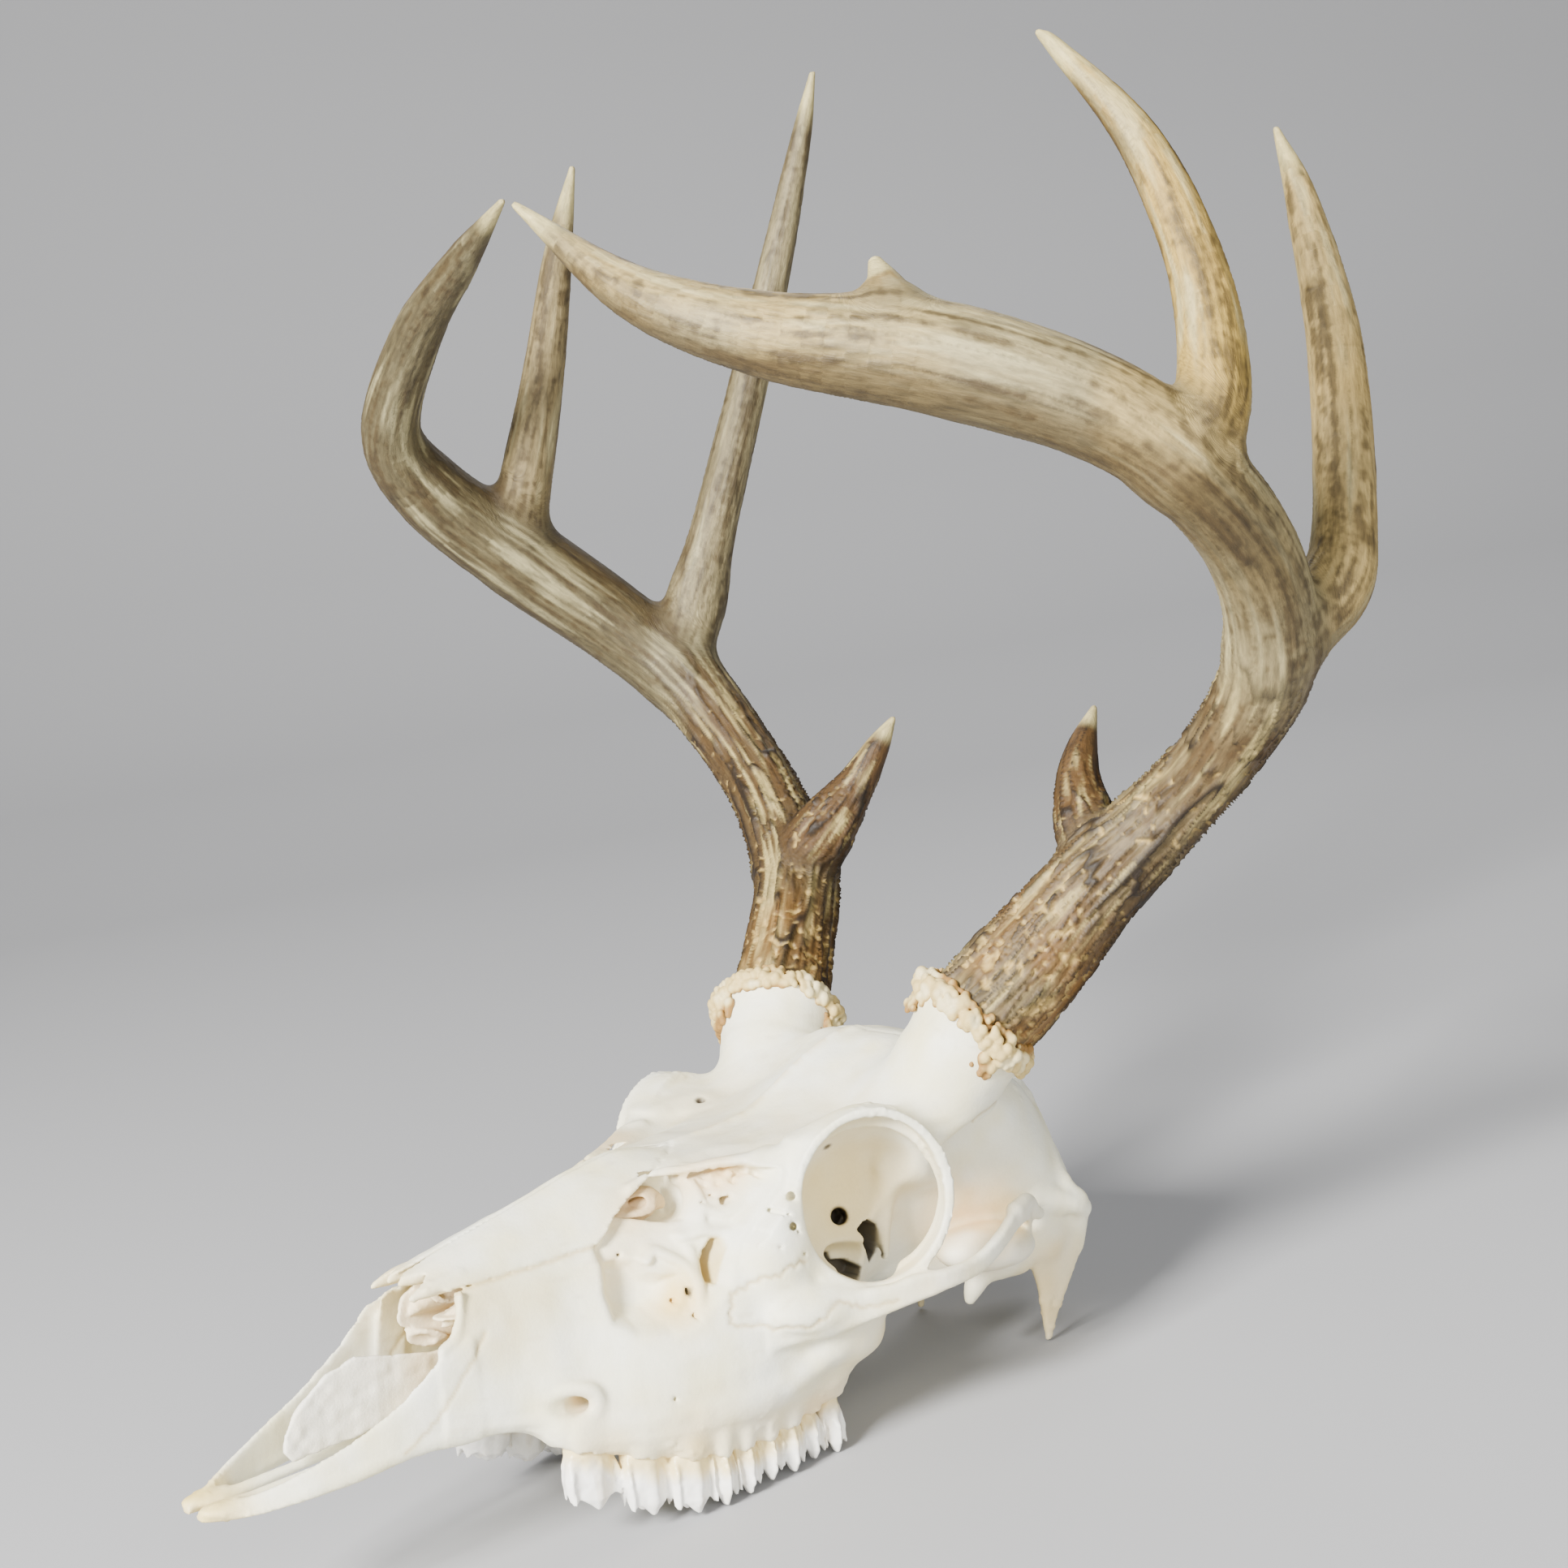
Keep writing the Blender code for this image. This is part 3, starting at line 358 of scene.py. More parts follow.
def ellipsoid(centre, radii, turn=0.0):
    """Turned about Z, in degrees."""
    centre, radii = np.array(centre, float), np.array(radii, float)
    spin = np.array(Matrix.Rotation(math.radians(turn), 3, "Z"))
    reach = radii if turn == 0 else np.full(3, radii.max())

    def distance(x, y, z):
        away = (x - centre[0], y - centre[1], z - centre[2])
        local = [sum(spin[j, i] * away[j] for j in range(3)) / radii[i] for i in range(3)]
        far = np.sqrt(sum(side ** 2 for side in local))
        slope = np.sqrt(sum((side / radius) ** 2 for side, radius in zip(local, radii)))
        return far * (far - 1) / (slope + 1e-6)

    return Part(centre - reach, centre + reach, distance)


def bar(a, b, radius_a, radius_b):
    a, b = np.array(a, float), np.array(b, float)
    along = b - a

    def distance(x, y, z):
        px, py, pz = x - a[0], y - a[1], z - a[2]
        t = np.clip((px * along[0] + py * along[1] + pz * along[2]) / (along @ along), 0, 1)
        away = (px - t * along[0]) ** 2 + (py - t * along[1]) ** 2 + (pz - t * along[2]) ** 2
        return np.sqrt(away) - (radius_a + (radius_b - radius_a) * t)

    most = max(radius_a, radius_b)
    return Part(np.minimum(a, b) - most, np.maximum(a, b) + most, distance)


def disc(centre, axis, radius, half):
    """A round plate about an axis, with a thickness of twice `half`."""
    def distance(x, y, z):
        px, py, pz = x - centre[0], y - centre[1], z - centre[2]
        up = px * axis[0] + py * axis[1] + pz * axis[2]
        out = np.sqrt(np.maximum(px ** 2 + py ** 2 + pz ** 2 - up ** 2, 0))
        return np.maximum(out - radius, np.abs(up) - half)

    return Part(centre - radius - half, centre + radius + half, distance)


def tube(rows, steps=4):
    """Round bars along a smooth line of (X, Y, Z, radius)."""
    line = smooth_line(rows, steps)
    line[:, 3] = np.maximum(line[:, 3], THINNEST)
    return [bar(p[:3], q[:3], p[3], q[3]) for p, q in zip(line, line[1:])]


def line_distance(u, v, line):
    """Distance in a plane from an open line."""
    best = np.inf
    for (ua, va), (ub, vb) in zip(line[:-1], line[1:]):
        du, dv = ub - ua, vb - va
        t = np.clip(((u - ua) * du + (v - va) * dv) / (du * du + dv * dv + 1e-9), 0, 1)
        best = np.minimum(best, (u - ua - t * du) ** 2 + (v - va - t * dv) ** 2)
    return np.sqrt(best)


def outline_distance(u, v, outline):
    """Signed distance in a plane from a closed outline."""
    closed = [*outline, outline[0]]
    inside = np.zeros(np.broadcast(u, v).shape, bool)
    for (ua, va), (ub, vb) in zip(closed[:-1], closed[1:]):
        if va != vb:
            inside ^= ((va > v) != (vb > v)) & (u < (ub - ua) * (v - va) / (vb - va) + ua)
    return np.where(inside, -1, 1) * line_distance(u, v, closed)


def slab(outline, low, high, top=False):
    """An outline seen from the side, or from above, made solid from low to high."""
    corners = np.array(outline, float)
    a, b = corners.min(0), corners.max(0)

    def distance(x, y, z):
        u, v, w = (x, y, z) if top else (y, z, x)
        across = np.abs(w - (low + high) / 2) - (high - low) / 2
        return np.maximum(outline_distance(u, v, outline), across)

    if top:
        return Part(np.array((*a, low)), np.array((*b, high)), distance)
    return Part(np.array((low, *a)), np.array((high, *b)), distance)


def skin(rings):
    """A closed skin over rings with the same number of points."""
    rings = np.array(rings, float)
    rows, count = rings.shape[:2]
    points = np.vstack([rings.reshape(-1, 3), rings[0].mean(0), rings[-1].mean(0)])
    i = np.arange(count)
    j = (i + 1) % count
    quads = np.concatenate([
        np.stack([r * count + i, r * count + j, (r + 1) * count + j, (r + 1) * count + i], 1)
        for r in range(rows - 1)])
    last = (rows - 1) * count
    caps = [np.stack([np.full(count, rows * count), j, i], 1),
            np.stack([np.full(count, rows * count + 1), last + i, last + j], 1)]
    return Skin(points, np.concatenate(caps), quads)


BLADE_STEPS = 5
BLADE_SECTION = [                     # share of the way up, share of the thickness there
    (0, 0), (0.05, 0.7), (0.16, 1), (0.5, 1), (0.84, 1), (0.96, 0.7), (1, 0),
]


def blade(foot, top, thick_foot, thick_top, thin=1.0):
    """A flat bone between a lower and an upper edge, with its own thickness at each. `thin` is the
    share of that thickness that is left at the last row."""
    lows, highs = smooth_line(foot, BLADE_STEPS), smooth_line(top, BLADE_STEPS)
    rings = []
    for row, (low, high) in enumerate(zip(lows, highs)):
        left = 1 + (thin - 1) * row / (len(lows) - 1)
        ring = []
        for share, side in BLADE_SECTION:
            half = (thick_foot + (thick_top - thick_foot) * share) / 2 * side * left
            ring.append((low + (high - low) * share, half))
        rings.append([p + (half, 0, 0) for p, half in ring]
                     + [p - (half, 0, 0) for p, half in reversed(ring[1:-1])])
    return skin(rings)


# ==== grids
class Field:
    """Distances to a surface, in mm, at the points of a grid. They are negative inside it."""

    def __init__(self, low, high, voxel):
        self.low = np.array(low, float)
        self.voxel = voxel
        count = np.ceil((np.array(high, float) - self.low) / voxel).astype(int) + 1
        self.d = np.full(count, FAR, np.float32)

    def window(self, low, high):
        """The part of the grid between two corners, and its coordinates."""
        first = np.floor((np.array(low) - self.low) / self.voxel).astype(int)
        last = np.ceil((np.array(high) - self.low) / self.voxel).astype(int) + 1
        first, last = (np.clip(end, 0, self.d.shape) for end in (first, last))
        cells = tuple(slice(a, max(a, b)) for a, b in zip(first, last))
        x, y, z = (start + self.voxel * np.arange(span.start, span.stop)
                   for start, span in zip(self.low, cells))
        return cells, x[:, None, None], y[None, :, None], z[None, None, :]

    def near(self, form, blend):
        """The part of the grid round a form, and the distances to the form there."""
        parts = [form] if isinstance(form, Part) else form
        margin = blend + 2 * self.voxel
        low = np.min([part.low for part in parts], axis=0) - margin
        high = np.max([part.high for part in parts], axis=0) + margin
        cells = self.window(low, high)[0]
        local = np.full(self.d[cells].shape, FAR, np.float32)
        for part in parts:
            sub, x, y, z = self.window(part.low - margin, part.high + margin)
            here = tuple(slice(s.start - c.start, s.stop - c.start) for s, c in zip(sub, cells))
            local[here] = np.minimum(local[here], part.distance(x, y, z))
        return cells, local

    def from_skin(self, form):
        grid = openvdb.FloatGrid.createLevelSetFromPolygons(
            ((form.points - self.low) / self.voxel).astype(np.float32),
            triangles=form.triangles.astype(np.uint32), quads=form.quads.astype(np.uint32),
            halfWidth=SKIN_BAND / self.voxel)
        distances = np.empty(self.d.shape, np.float32)
        grid.copyToArray(distances)
        return distances * self.voxel

    def join(self, cells, local, blend):
        self.d[cells] = smooth_min(self.d[cells], local, blend)

    def take(self, cells, local, blend):
        self.d[cells] = -smooth_min(-self.d[cells], local, blend)

    def add(self, form, blend):
        """Join a part, several parts or a skin."""
        if isinstance(form, Skin):
            self.join(..., self.from_skin(form), blend)
        else:
            self.join(*self.near(form, blend), blend)

    def cut(self, form, blend):
        self.take(*self.near(form, blend), blend)


    def groove(self, line, depth, width, low, high, top=False):
        """Press a line, seen from the side or from above, into what lies from low to high."""
        a, b = line.min(0) - 3 * width, line.max(0) + 3 * width
        corners = ((*a, low), (*b, high)) if top else ((low, *a), (high, *b))
        cells, x, y, z = self.window(*corners)
        away = line_distance(x, y, line) if top else line_distance(y, z, line)
        self.d[cells] += depth * bell(away, width)

    def mirrored(self):
        """The whole of a piece whose grid starts at its middle plane."""
        whole = Field((-1, -1, -1), (0, 0, 0), self.voxel)
        whole.low = self.low - (self.voxel * (self.d.shape[0] - 1), 0, 0)
        whole.d = np.concatenate([self.d[:0:-1], self.d])
        return whole

    def surface(self):
        """Points and faces, as rows of four corners, without the crumbs that noise leaves."""
        grid = openvdb.FloatGrid(BAND)
        grid.copyFromArray(np.clip(self.d / self.voxel, -BAND, BAND), tolerance=1e-4)
        points, triangles, quads = grid.convertToPolygons()
        faces = np.concatenate([quads, triangles[:, [0, 1, 2, 2]]]).astype(np.int64)
        faces = faces[:, ::-1]
        label = np.arange(len(points))
        while True:
            least = label[faces].min(axis=1)
            new = label.copy()
            for corner in range(4):
                np.minimum.at(new, faces[:, corner], least)
            new = new[new]
            if (new == label).all():
                break
            label = new
        sizes = np.bincount(label)
        faces = faces[sizes[label[faces[:, 0]]] > CRUMB * len(points)]
        kept, index = np.unique(faces, return_inverse=True)
        return points[kept].astype(float) * self.voxel + self.low, index.reshape(-1, 4)


def normals_of(points, faces):
    a, b, c, d = (points[faces[:, corner]] for corner in range(4))
    total = [sum(np.bincount(faces[:, corner], side, len(points)) for corner in range(4))
             for side in np.cross(c - a, d - b).T]
    return unit_rows(np.stack(total, 1), 1e-12)


# ==== pieces
def posed(points):
    """From the skull's frame, in mm, to the model's frame, in metres."""
    return np.asarray(points, float) @ TURN.T * MM + OFFSET


def placed(name, data):
    """A new object in the scene."""
    thing = bpy.data.objects.new(name, data)
    bpy.context.scene.collection.objects.link(thing)
    return thing


def piece(name, points, faces, colours, grain, material, nodes):
    """A mesh that stands for CAD nodes, with a colour and a direction of grain at each point."""
    points = np.clip(posed(points), np.array(CAD_LOW), np.array(CAD_HIGH))
    mesh = bpy.data.meshes.new(name)
    three = faces[:, 2] == faces[:, 3]
    sizes = np.where(three, 3, 4)
    starts = np.concatenate([[0], np.cumsum(sizes)[:-1]])
    corners = faces.ravel()[np.stack([np.ones_like(three)] * 3 + [~three], 1).ravel()]
    mesh.vertices.add(len(points))
    mesh.vertices.foreach_set("co", points.astype(np.float32).ravel())
    mesh.loops.add(len(corners))
    mesh.loops.foreach_set("vertex_index", corners.astype(np.int32))
    mesh.polygons.add(len(faces))
    mesh.polygons.foreach_set("loop_start", starts.astype(np.int32))
    mesh.update(calc_edges=True)
    mesh.validate()
    mesh.shade_smooth()
    tone = np.column_stack([colours, np.ones(len(colours))])
    paint = mesh.color_attributes.new("tone", "FLOAT_COLOR", "POINT")
    paint.data.foreach_set("color", tone.astype(np.float32).ravel())
    lay = mesh.attributes.new("grain", "FLOAT_VECTOR", "POINT")
    lay.data.foreach_set("vector", grain.astype(np.float32).ravel())
    mesh.materials.append(material)
    thing = placed(name, mesh)
    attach(thing, "root")
    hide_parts(*nodes)


def linear(colour):
    """A screen colour as the shader's light values."""
    colour = np.array(colour, float)
    return np.where(colour <= 0.04045, colour / 12.92, ((colour + 0.055) / 1.055) ** 2.4)


def layered(colours, *layers):
    """The colours under layers of (colour, share), each laid over the ones before it."""
    for colour, share in layers:
        share = np.clip(share, 0, 1)[:, None]
        colours = colours * (1 - share) + linear(colour) * share
    return colours


def painted(points, ground, *layers):
    return layered(np.tile(linear(ground), (len(points), 1)), *layers)


# ==== the skull
PROCESS_FRONT = [
    (31.5, 238, 53), (31, 239.4, 43), (30.4, 242.8, 34), (29.6, 245.2, 25), (28.9, 246.6, 17.3),
]
PROCESS_REAR = [
    (34, 256.6, 53), (33, 256.8, 43), (31.2, 254.2, 34), (29.8, 250.2, 25), (29, 248.2, 17.3),
]
NUCHAL_CREST = [
    (0, 258, 88.5, 1.6), (9, 256.4, 87.6, 1.7), (18, 253, 84.6, 1.7), (26, 249, 79, 1.6),
    (32, 247.2, 72, 1.5), (36, 249, 64.5, 1.5), (38, 253, 58.6, 1.6),
]
ARCH_EDGES = [[(x, y, z + side * height / 2) for (x, y, z), height in zip(ARCH, ARCH_HEIGHTS)]
              for side in (-1, 1)]
PTERYGOID = [
    [(10, 180, 27), (11, 188, 25), (11, 196, 28), (10, 204, 36)],
    [(10, 180, 46), (11, 188, 47), (11, 196, 48), (10, 204, 48)],
]


def trunk_skin():
    halves = []
    for station in TRUNK:
        corners = [(0, station.roof), station.crown, station.shoulder, station.cheek, station.edge,
                   (0, station.floor)]
        half = smooth_line(corners, 6)
        halves.append(np.column_stack([half[:, 0], np.full(len(half), station.y), half[:, 1]]))
    halves = smooth_line(halves, 5)
    return skin([np.vstack([half, half[-2:0:-1] * (-1, 1, 1)]) for half in halves])


def orbit_part(radii, outer, inner):
    """An oval bar along the orbit's axis, from `outer` to `inner` before its centre."""
    facing = math.radians(ORBIT_FACING)
    axis = np.array((math.cos(facing), -math.sin(facing), 0))
    side = np.array((-axis[1], axis[0], 0))

    def distance(x, y, z):
        px, py, pz = x - ORBIT_CENTRE[0], y - ORBIT_CENTRE[1], z - ORBIT_CENTRE[2] + RIM_DROP
        out = px * axis[0] + py * axis[1]
        far = np.sqrt(((px * side[0] + py * side[1]) / radii[0]) ** 2 + (pz / radii[1]) ** 2)
        around = (far - 1) * min(radii)
        return np.maximum(around, np.abs(out - (outer + inner) / 2) - (outer - inner) / 2)

    reach = np.full(3, max(radii) + abs(inner))
    return Part(ORBIT_CENTRE - reach, ORBIT_CENTRE + reach, distance)


def add_masses(field):
    """What swells from the trunk on each side, with how softly it joins."""
    rim = tuple(radius + RIM_THICKNESS for radius in ORBIT_RADII)
    for form, blend in (
            (ellipsoid((42, 148, 62), (6, 10, 14)), 5),  # before the orbit
            (ellipsoid((46, 160, 45), (8, 19, 7)), 5),  # foot of the cheek bone
            (ellipsoid((41, 167, 37), (8, 12, 9)), 5),  # over the last molar
            (ellipsoid((38, 175, 88), (13, 21, 3.6)), 3),  # roof of the orbit
            (orbit_part(rim, 0, -RIM_WIDTH), 3),
            (tube(PEDICLE), 7),
            (blade(*ARCH_EDGES, 4.4, 3.4), 2),
            (ellipsoid((37, 219, 50), (12, 15, 6.5)), 3),  # over the jaw's joint
            (tube([(50, 219.5, 61.5, 2.4), (46.5, 227, 62.4, 2.2), (42, 232.6, 58.5, 2.2),
                   (40, 236, 57, 2)]), 2),  # end of the cheek arch
            (ellipsoid((27.5, 230, 44), (8.5, 12, 6.5)), 3),  # ear capsule
            (ellipsoid((28.5, 236.5, 42.5), (5.5, 5.5, 4.5)), 2),
            (tube([(28, 226, 43, 4.5), (29, 221, 37, 2.8), (29, 219.5, 34, 1.6)]), 2),
            (tube([(14, 262, 43, 10.5), (12, 267, 42, 8)]), 3),  # knuckle of the neck joint
            (blade(PROCESS_FRONT, PROCESS_REAR, 4.4, 5.6, thin=0.34), 1.5),
            (tube([(34, 240, 60, 5), (38, 250, 57.5, 3.2), (37.5, 255, 55.5, 2.2)]), 2),
            (tube([(37, 253.5, 58, 1.6), (35.6, 255.8, 52, 1.5), (33.2, 256.4, 44, 0.8)]), 4),
            (ellipsoid((33.6, 244, 49), (3.6, 5.5, 6.5)), 5),  # root of the process
            (blade(*PTERYGOID, 2.6, 3.4), 2),
            (tube([(12, 196, 44, 3), (20, 206, 44, 3.4), (26, 214, 45, 3)]), 2),
            (tube(NUCHAL_CREST, 3), 2.5)):
        field.add(form, blend)
    for i, (x, y, z, _) in enumerate(smooth_line(NUCHAL_CREST, 9)):
        if i % 2:
            knob = (1.7, 1.5, 1.2 + 0.5 * math.sin(2.3 * i))
            field.add(ellipsoid((x, y + 0.4, z + 0.5), knob), 0.8)
    field.cut(ellipsoid((43.5, 213, 79), (7.6, 15, 12), turn=6), 5)  # hollow behind the orbit
    field.add(tube([(41, 198, 84, 1), (40.4, 203.3, 88.5, 1.5), (38.5, 209.8, 92, 1.4),
                    (36, 219.9, 94, 1.3), (31, 232, 95, 1)]), 3)  # its upper ridge


HOLLOW_BOX = ((8, 98, 38), (50, 154, 90))
HOLLOW_INNER_EDGE = [                 # (Y, X) of the line outside which the hollows are sunk
    (104, 8), (112, 10), (118, 11), (124.5, 12), (131.6, 16), (139.6, 20.5), (145.7, 26),
    (149.4, 29),
]
HOLLOW_DEPTH = 3.3
SCOOP_DEPTH = 5.4
FLOOR_THICKNESS = 1.6
NOSE_BOX = ((0, 30, 20), (34, 142, 86))
CHAMBERS = [((0, 88, 48), (27, 50, 24)), ((15, 121.5, 73.5), (9, 12.5, 7.5))]
BROW_OF_HOLLOW = [
    (30, 152, 85.4, 0.9), (32, 147, 84.2, 1), (27, 140, 82.9, 1), (21.5, 133, 81.8, 1),
    (16.5, 126, 81.4, 1), (15, 119, 78.4, 0.8),
]


def hollow_nose(field, trunk):
    """The nose's cavity, the thin floor of the hollows before the orbit, and their openings."""
    cells, x, y, z = field.window(*HOLLOW_BOX)
    hollow = outline_distance(y, z, VACUITY)
    pocket = outline_distance(y, z, SCOOP)
    soft = 0.5 + 1.6 * smooth_step(74, 60, z)
    inset = HOLLOW_DEPTH * smooth_step(soft, -soft, hollow)
    sunk = trunk[cells] + (inset + SCOOP_DEPTH * smooth_step(0.7, -4.6, pocket))
    side = x > read(HOLLOW_INNER_EDGE, y)
    field.d[cells] = np.maximum(field.d[cells], np.where((hollow < 2.4) & side, sunk, -FAR))
    room, *place = field.window(*NOSE_BOX)
    wall = WALL - 1.2 * smooth_step(76, 60, place[1])
    chambers = np.min([ellipsoid(*chamber).distance(*place) for chamber in CHAMBERS], axis=0)
    field.d[room] = np.maximum(field.d[room], -np.maximum(trunk[room] + wall, chambers))
    half = FLOOR_THICKNESS / 2
    field.join(cells, np.maximum(np.abs(sunk + half) - half, hollow - 0.8), 0.8)
    for outline in (BIG_HOLE, SMALL_HOLE, SLOT_HOLE, *DARK_SLOTS):
        field.cut(slab(outline, 9 if outline is BIG_HOLE else 22, 48), 0.7)
    for line, radius, depth in STRUTS:
        away = np.sqrt(line_distance(y, z, smooth_line(line, 5)) ** 2 + (trunk[cells] + depth) ** 2)
        field.join(cells, away - radius, 1.4)
    field.add(tube(BROW_OF_HOLLOW), 3)


def add_pits(field):
    """Small holes straight into the bone, as seen from the side."""
    for y_mid, z_mid, radius, bottom in PITS:
        low = (bottom - 2, y_mid - 4, z_mid - 4)
        cells, x, y, z = field.window(low, (60, y_mid + 4, z_mid + 4))
        wide = radius * (1 + 0.3 * np.sin(1.9 * y + y_mid) * np.cos(2.3 * z))
        field.take(cells, np.maximum(np.hypot(y - y_mid, z - z_mid) - wide, bottom - x), 0.5)


OPTIC_CANAL = [(30, 175.2, 64, 2.3), (24, 178.4, 62.8, 2.3), (16, 182.6, 61.2, 2.3)]
TEAR_DUCTS = (75.4, 68)               # Z of the two holes in the rim


ORBIT_STRUT = [
    (33, 188.2, 78, 1), (32.6, 189.4, 74, 1.6), (31, 190.3, 65, 1.4), (29, 190.4, 51, 1.2),
]


def carve_orbit(field):
    """The eye's room, the strut, holes and slits at its back, and the tear ducts in its rim."""
    field.cut(orbit_part(ORBIT_RADII, 14, -6.5), 0.8)
    field.cut(ellipsoid(ORBIT_CENTRE - (6, -2.4, 2.2), (21, 19.6, 19.2), turn=-ORBIT_FACING), 1.2)
    field.cut(ellipsoid((37, 174, 52.5), (13, 9.5, 5.5)), 2)
    field.add(tube(ORBIT_STRUT), 4)
    field.add(ellipsoid((32, 188.2, 76), (1.8, 1.9, 1.7)), 1.2)
    field.cut(tube(OPTIC_CANAL), 0.5)
    field.cut(slab(ORBIT_SLIT, 17, 33), 0.6)
    field.cut(slab(ORBIT_FLOOR, 22, 38), 0.8)
    field.cut(slab(ORBIT_BACK, 36, 46), 1.5)
    for z in TEAR_DUCTS:
        duct = [(46.5, 147.6, z, 1.2), (43, 150, z - 0.4, 1.3), (40, 153, z - 1, 1.2)]
        field.cut(tube(duct), 0.5)


RIDGE_END = [(23.5, 82, 26.4, 1), (27, 90, 23.6, 1)]
PALATE_RIM = [(3.6, 6, 16.2, 1.3), (4, 20, 18.2, 1.5), (4.4, 40, 21.6, 1.4), (4.5, 64, 26.4, 1.6)]
PALATE_SLIT = [(7.6, 15, 18.4, 0.7), (8.6, 26, 19.6, 1.3), (9, 40, 23, 1.6)]


def model_skull():
    """One half with what both sides share, mirrored, and then each side's own nose and stalk."""
    field = Field((0, -4, 8), (64, 286, 122), SKULL_VOXEL)
    trunk = field.from_skin(trunk_skin())
    field.d = trunk.copy()
    add_masses(field)
    hollow_nose(field, trunk)
    carve_orbit(field)
    add_pits(field)
    field.cut(ellipsoid((0, 172, 33), (9.5, 16, 9)), 2)                 # throat behind the palate
    field.cut(tube([(0, 250, 48, 8.5), (0, 285, 46, 9.5)]), 1.5)        # hole for the spinal cord
    field.cut(slab(NASAL_FRONT, 56.5, 80, top=True), 0.5)
    field.cut(slab([(38, 20), (38, 57.4), (60, 57.4), (60, 20)], -1, 30), 0.5)
    add_sockets(field)
    add_lines(field)
    whole = field.mirrored()
    for side, sign in SIDES.items():
        add_nose_side(whole, side, sign)
        burr, axis = burr_place(side)
        whole.add(bar(burr - axis * 13, burr - axis * 2, 11.5, 16.4), 6)
        whole.cut(above(burr - axis * 0.6, axis, 26), 0.5)
    whole.cut(bar((0, -4, 14.6), (0, 13, 18.6), 0.5, 0.4), 0.4)         # gap between the nose tips
    return whole


def add_nose_side(whole, side, sign):
    whole.cut(slab(NOSTRIL[side], *sorted((sign * 6, sign * 40))), 0.6)
    top = [(x - 1.2, y, height) for (x, y, _), height in zip(WALL_FOOT, WALL_TOP[side])]
    whole.add(blade(flipped(WALL_FOOT, sign), flipped(top, sign), 4, 1.8, thin=0.5), 2.6)
    ridge = [(x - 0.4, y, z + 2.4, 1) for x, y, z in WALL_FOOT[2:]] + RIDGE_END
    whole.add(tube(flipped(ridge, sign)), 1.6)
    whole.add(ellipsoid((sign * 5.2, 8.6, 16.4), (4.3, 8.6, 2)), 1.6)
    for rows in NASAL_PRONGS:
        whole.add(tube(flipped(rows, sign)), 0.8)
    whole.add(tube([(sign * x, y, z, 0.9) for x, y, z in FLANGE[side]]), 1.2)
    whole.add(tube(flipped(PALATE_RIM, sign)), 1.2)
    whole.cut(tube(flipped(PALATE_SLIT, sign)), 0.8)


TOOTH_LEDGE = [
    (37.4, 124, 23, 1.6), (39.2, 132, 23, 2.4), (40.4, 141, 24.6, 2.2), (42, 152, 28.5, 2.4),
    (44, 160, 34, 2.6),
]


def add_sockets(field):
    """The bulges over the roots of the teeth, the ledge above and the bone's edge round them."""
    rows = [(tooth.x + tooth.width / 2 - 5.6, tooth.y, read(MARGIN, tooth.y) + 5.4, 5.6)
            for tooth in TEETH]
    field.add(tube([(24.4, 90, 23, 4.5), *rows, (31, 169, 26, 5)]), 2.5)
    for tooth in TEETH:
        for y, _, length in lobes_of(tooth):
            bulge = (tooth.x + tooth.width / 2 - 2, y, read(MARGIN, y) + 4.5)
            field.add(ellipsoid(bulge, (3, length * 0.40, 6.5)), 1.4)
    field.add(tube(TOOTH_LEDGE), 5)
    cells, x, y, z = field.window((16, 84, 2), (50, 175, 30))
    rim = read(MARGIN, y) + 0.35 * np.sin(1.3 * y) + 0.25 * np.sin(3.1 * y)
    field.take(cells, z - rim + 0 * x, 0.5)


def above(centre, axis, reach):
    """All within reach that lies past the middle of the burr."""
    def distance(x, y, z):
        return -((x - centre[0]) * axis[0] + (y - centre[1]) * axis[1] + (z - centre[2]) * axis[2])
    return Part(centre - reach, centre + reach, distance)


SUTURES = [
    # line seen from the side, depth, width, from X, to X, jag
    ([(72.2, 49.2), (64.7, 39.8), (57.1, 30.5), (48.2, 23.7)], 0.5, 0.6, 8, 30, 0.5),
    ([(66.7, 59.8), (80, 61.6), (93.7, 63.6), (105.2, 65.8)], 0.75, 0.55, 8, 30, 0.15),
    ([(150.6, 58.7), (144.6, 57.2), (138.5, 54.5), (133.1, 51.5), (131, 46.3), (132.6, 44.1),
      (142.9, 42.6), (150.7, 43.6)], 0.5, 0.5, 30, 60, 1.3),
    ([(150.7, 43.6), (156, 47.6), (163.5, 45.6), (172, 46.4)], 0.3, 0.5, 36, 64, 0.6),
    ([(199.3, 78), (203, 86.4), (212, 91.8), (226, 96)], 0.7, 0.8, 26, 60, 0.4),
]
SUTURES_ABOVE = [
    ([(0, 57), (0, 138)], 0.9, 0.7, 55, 95, 0.15),
    ([(0, 141), (5, 138), (10, 132), (14, 127), (16, 124)], 0.6, 0.6, 70, 95, 0.7),
    ([(0, 141), (0.4, 165), (0.3, 206)], -0.8, 1.7, 80, 120, 0.8),
    ([(0, 206), (12, 208), (24, 216), (32, 222)], 0.3, 0.7, 85, 120, 1.2),
]


def jagged(line, jag):
    """The line in short stretches, each point moved a little to the side."""
    line = smooth_line(line, 7)
    shift = noise(np.column_stack([line, np.zeros(len(line))]), 0.9, 5)
    way = unit_rows(np.gradient(line, axis=0), 1e-9)
    return line + np.column_stack([-way[:, 1], way[:, 0]]) * (shift * jag)[:, None]


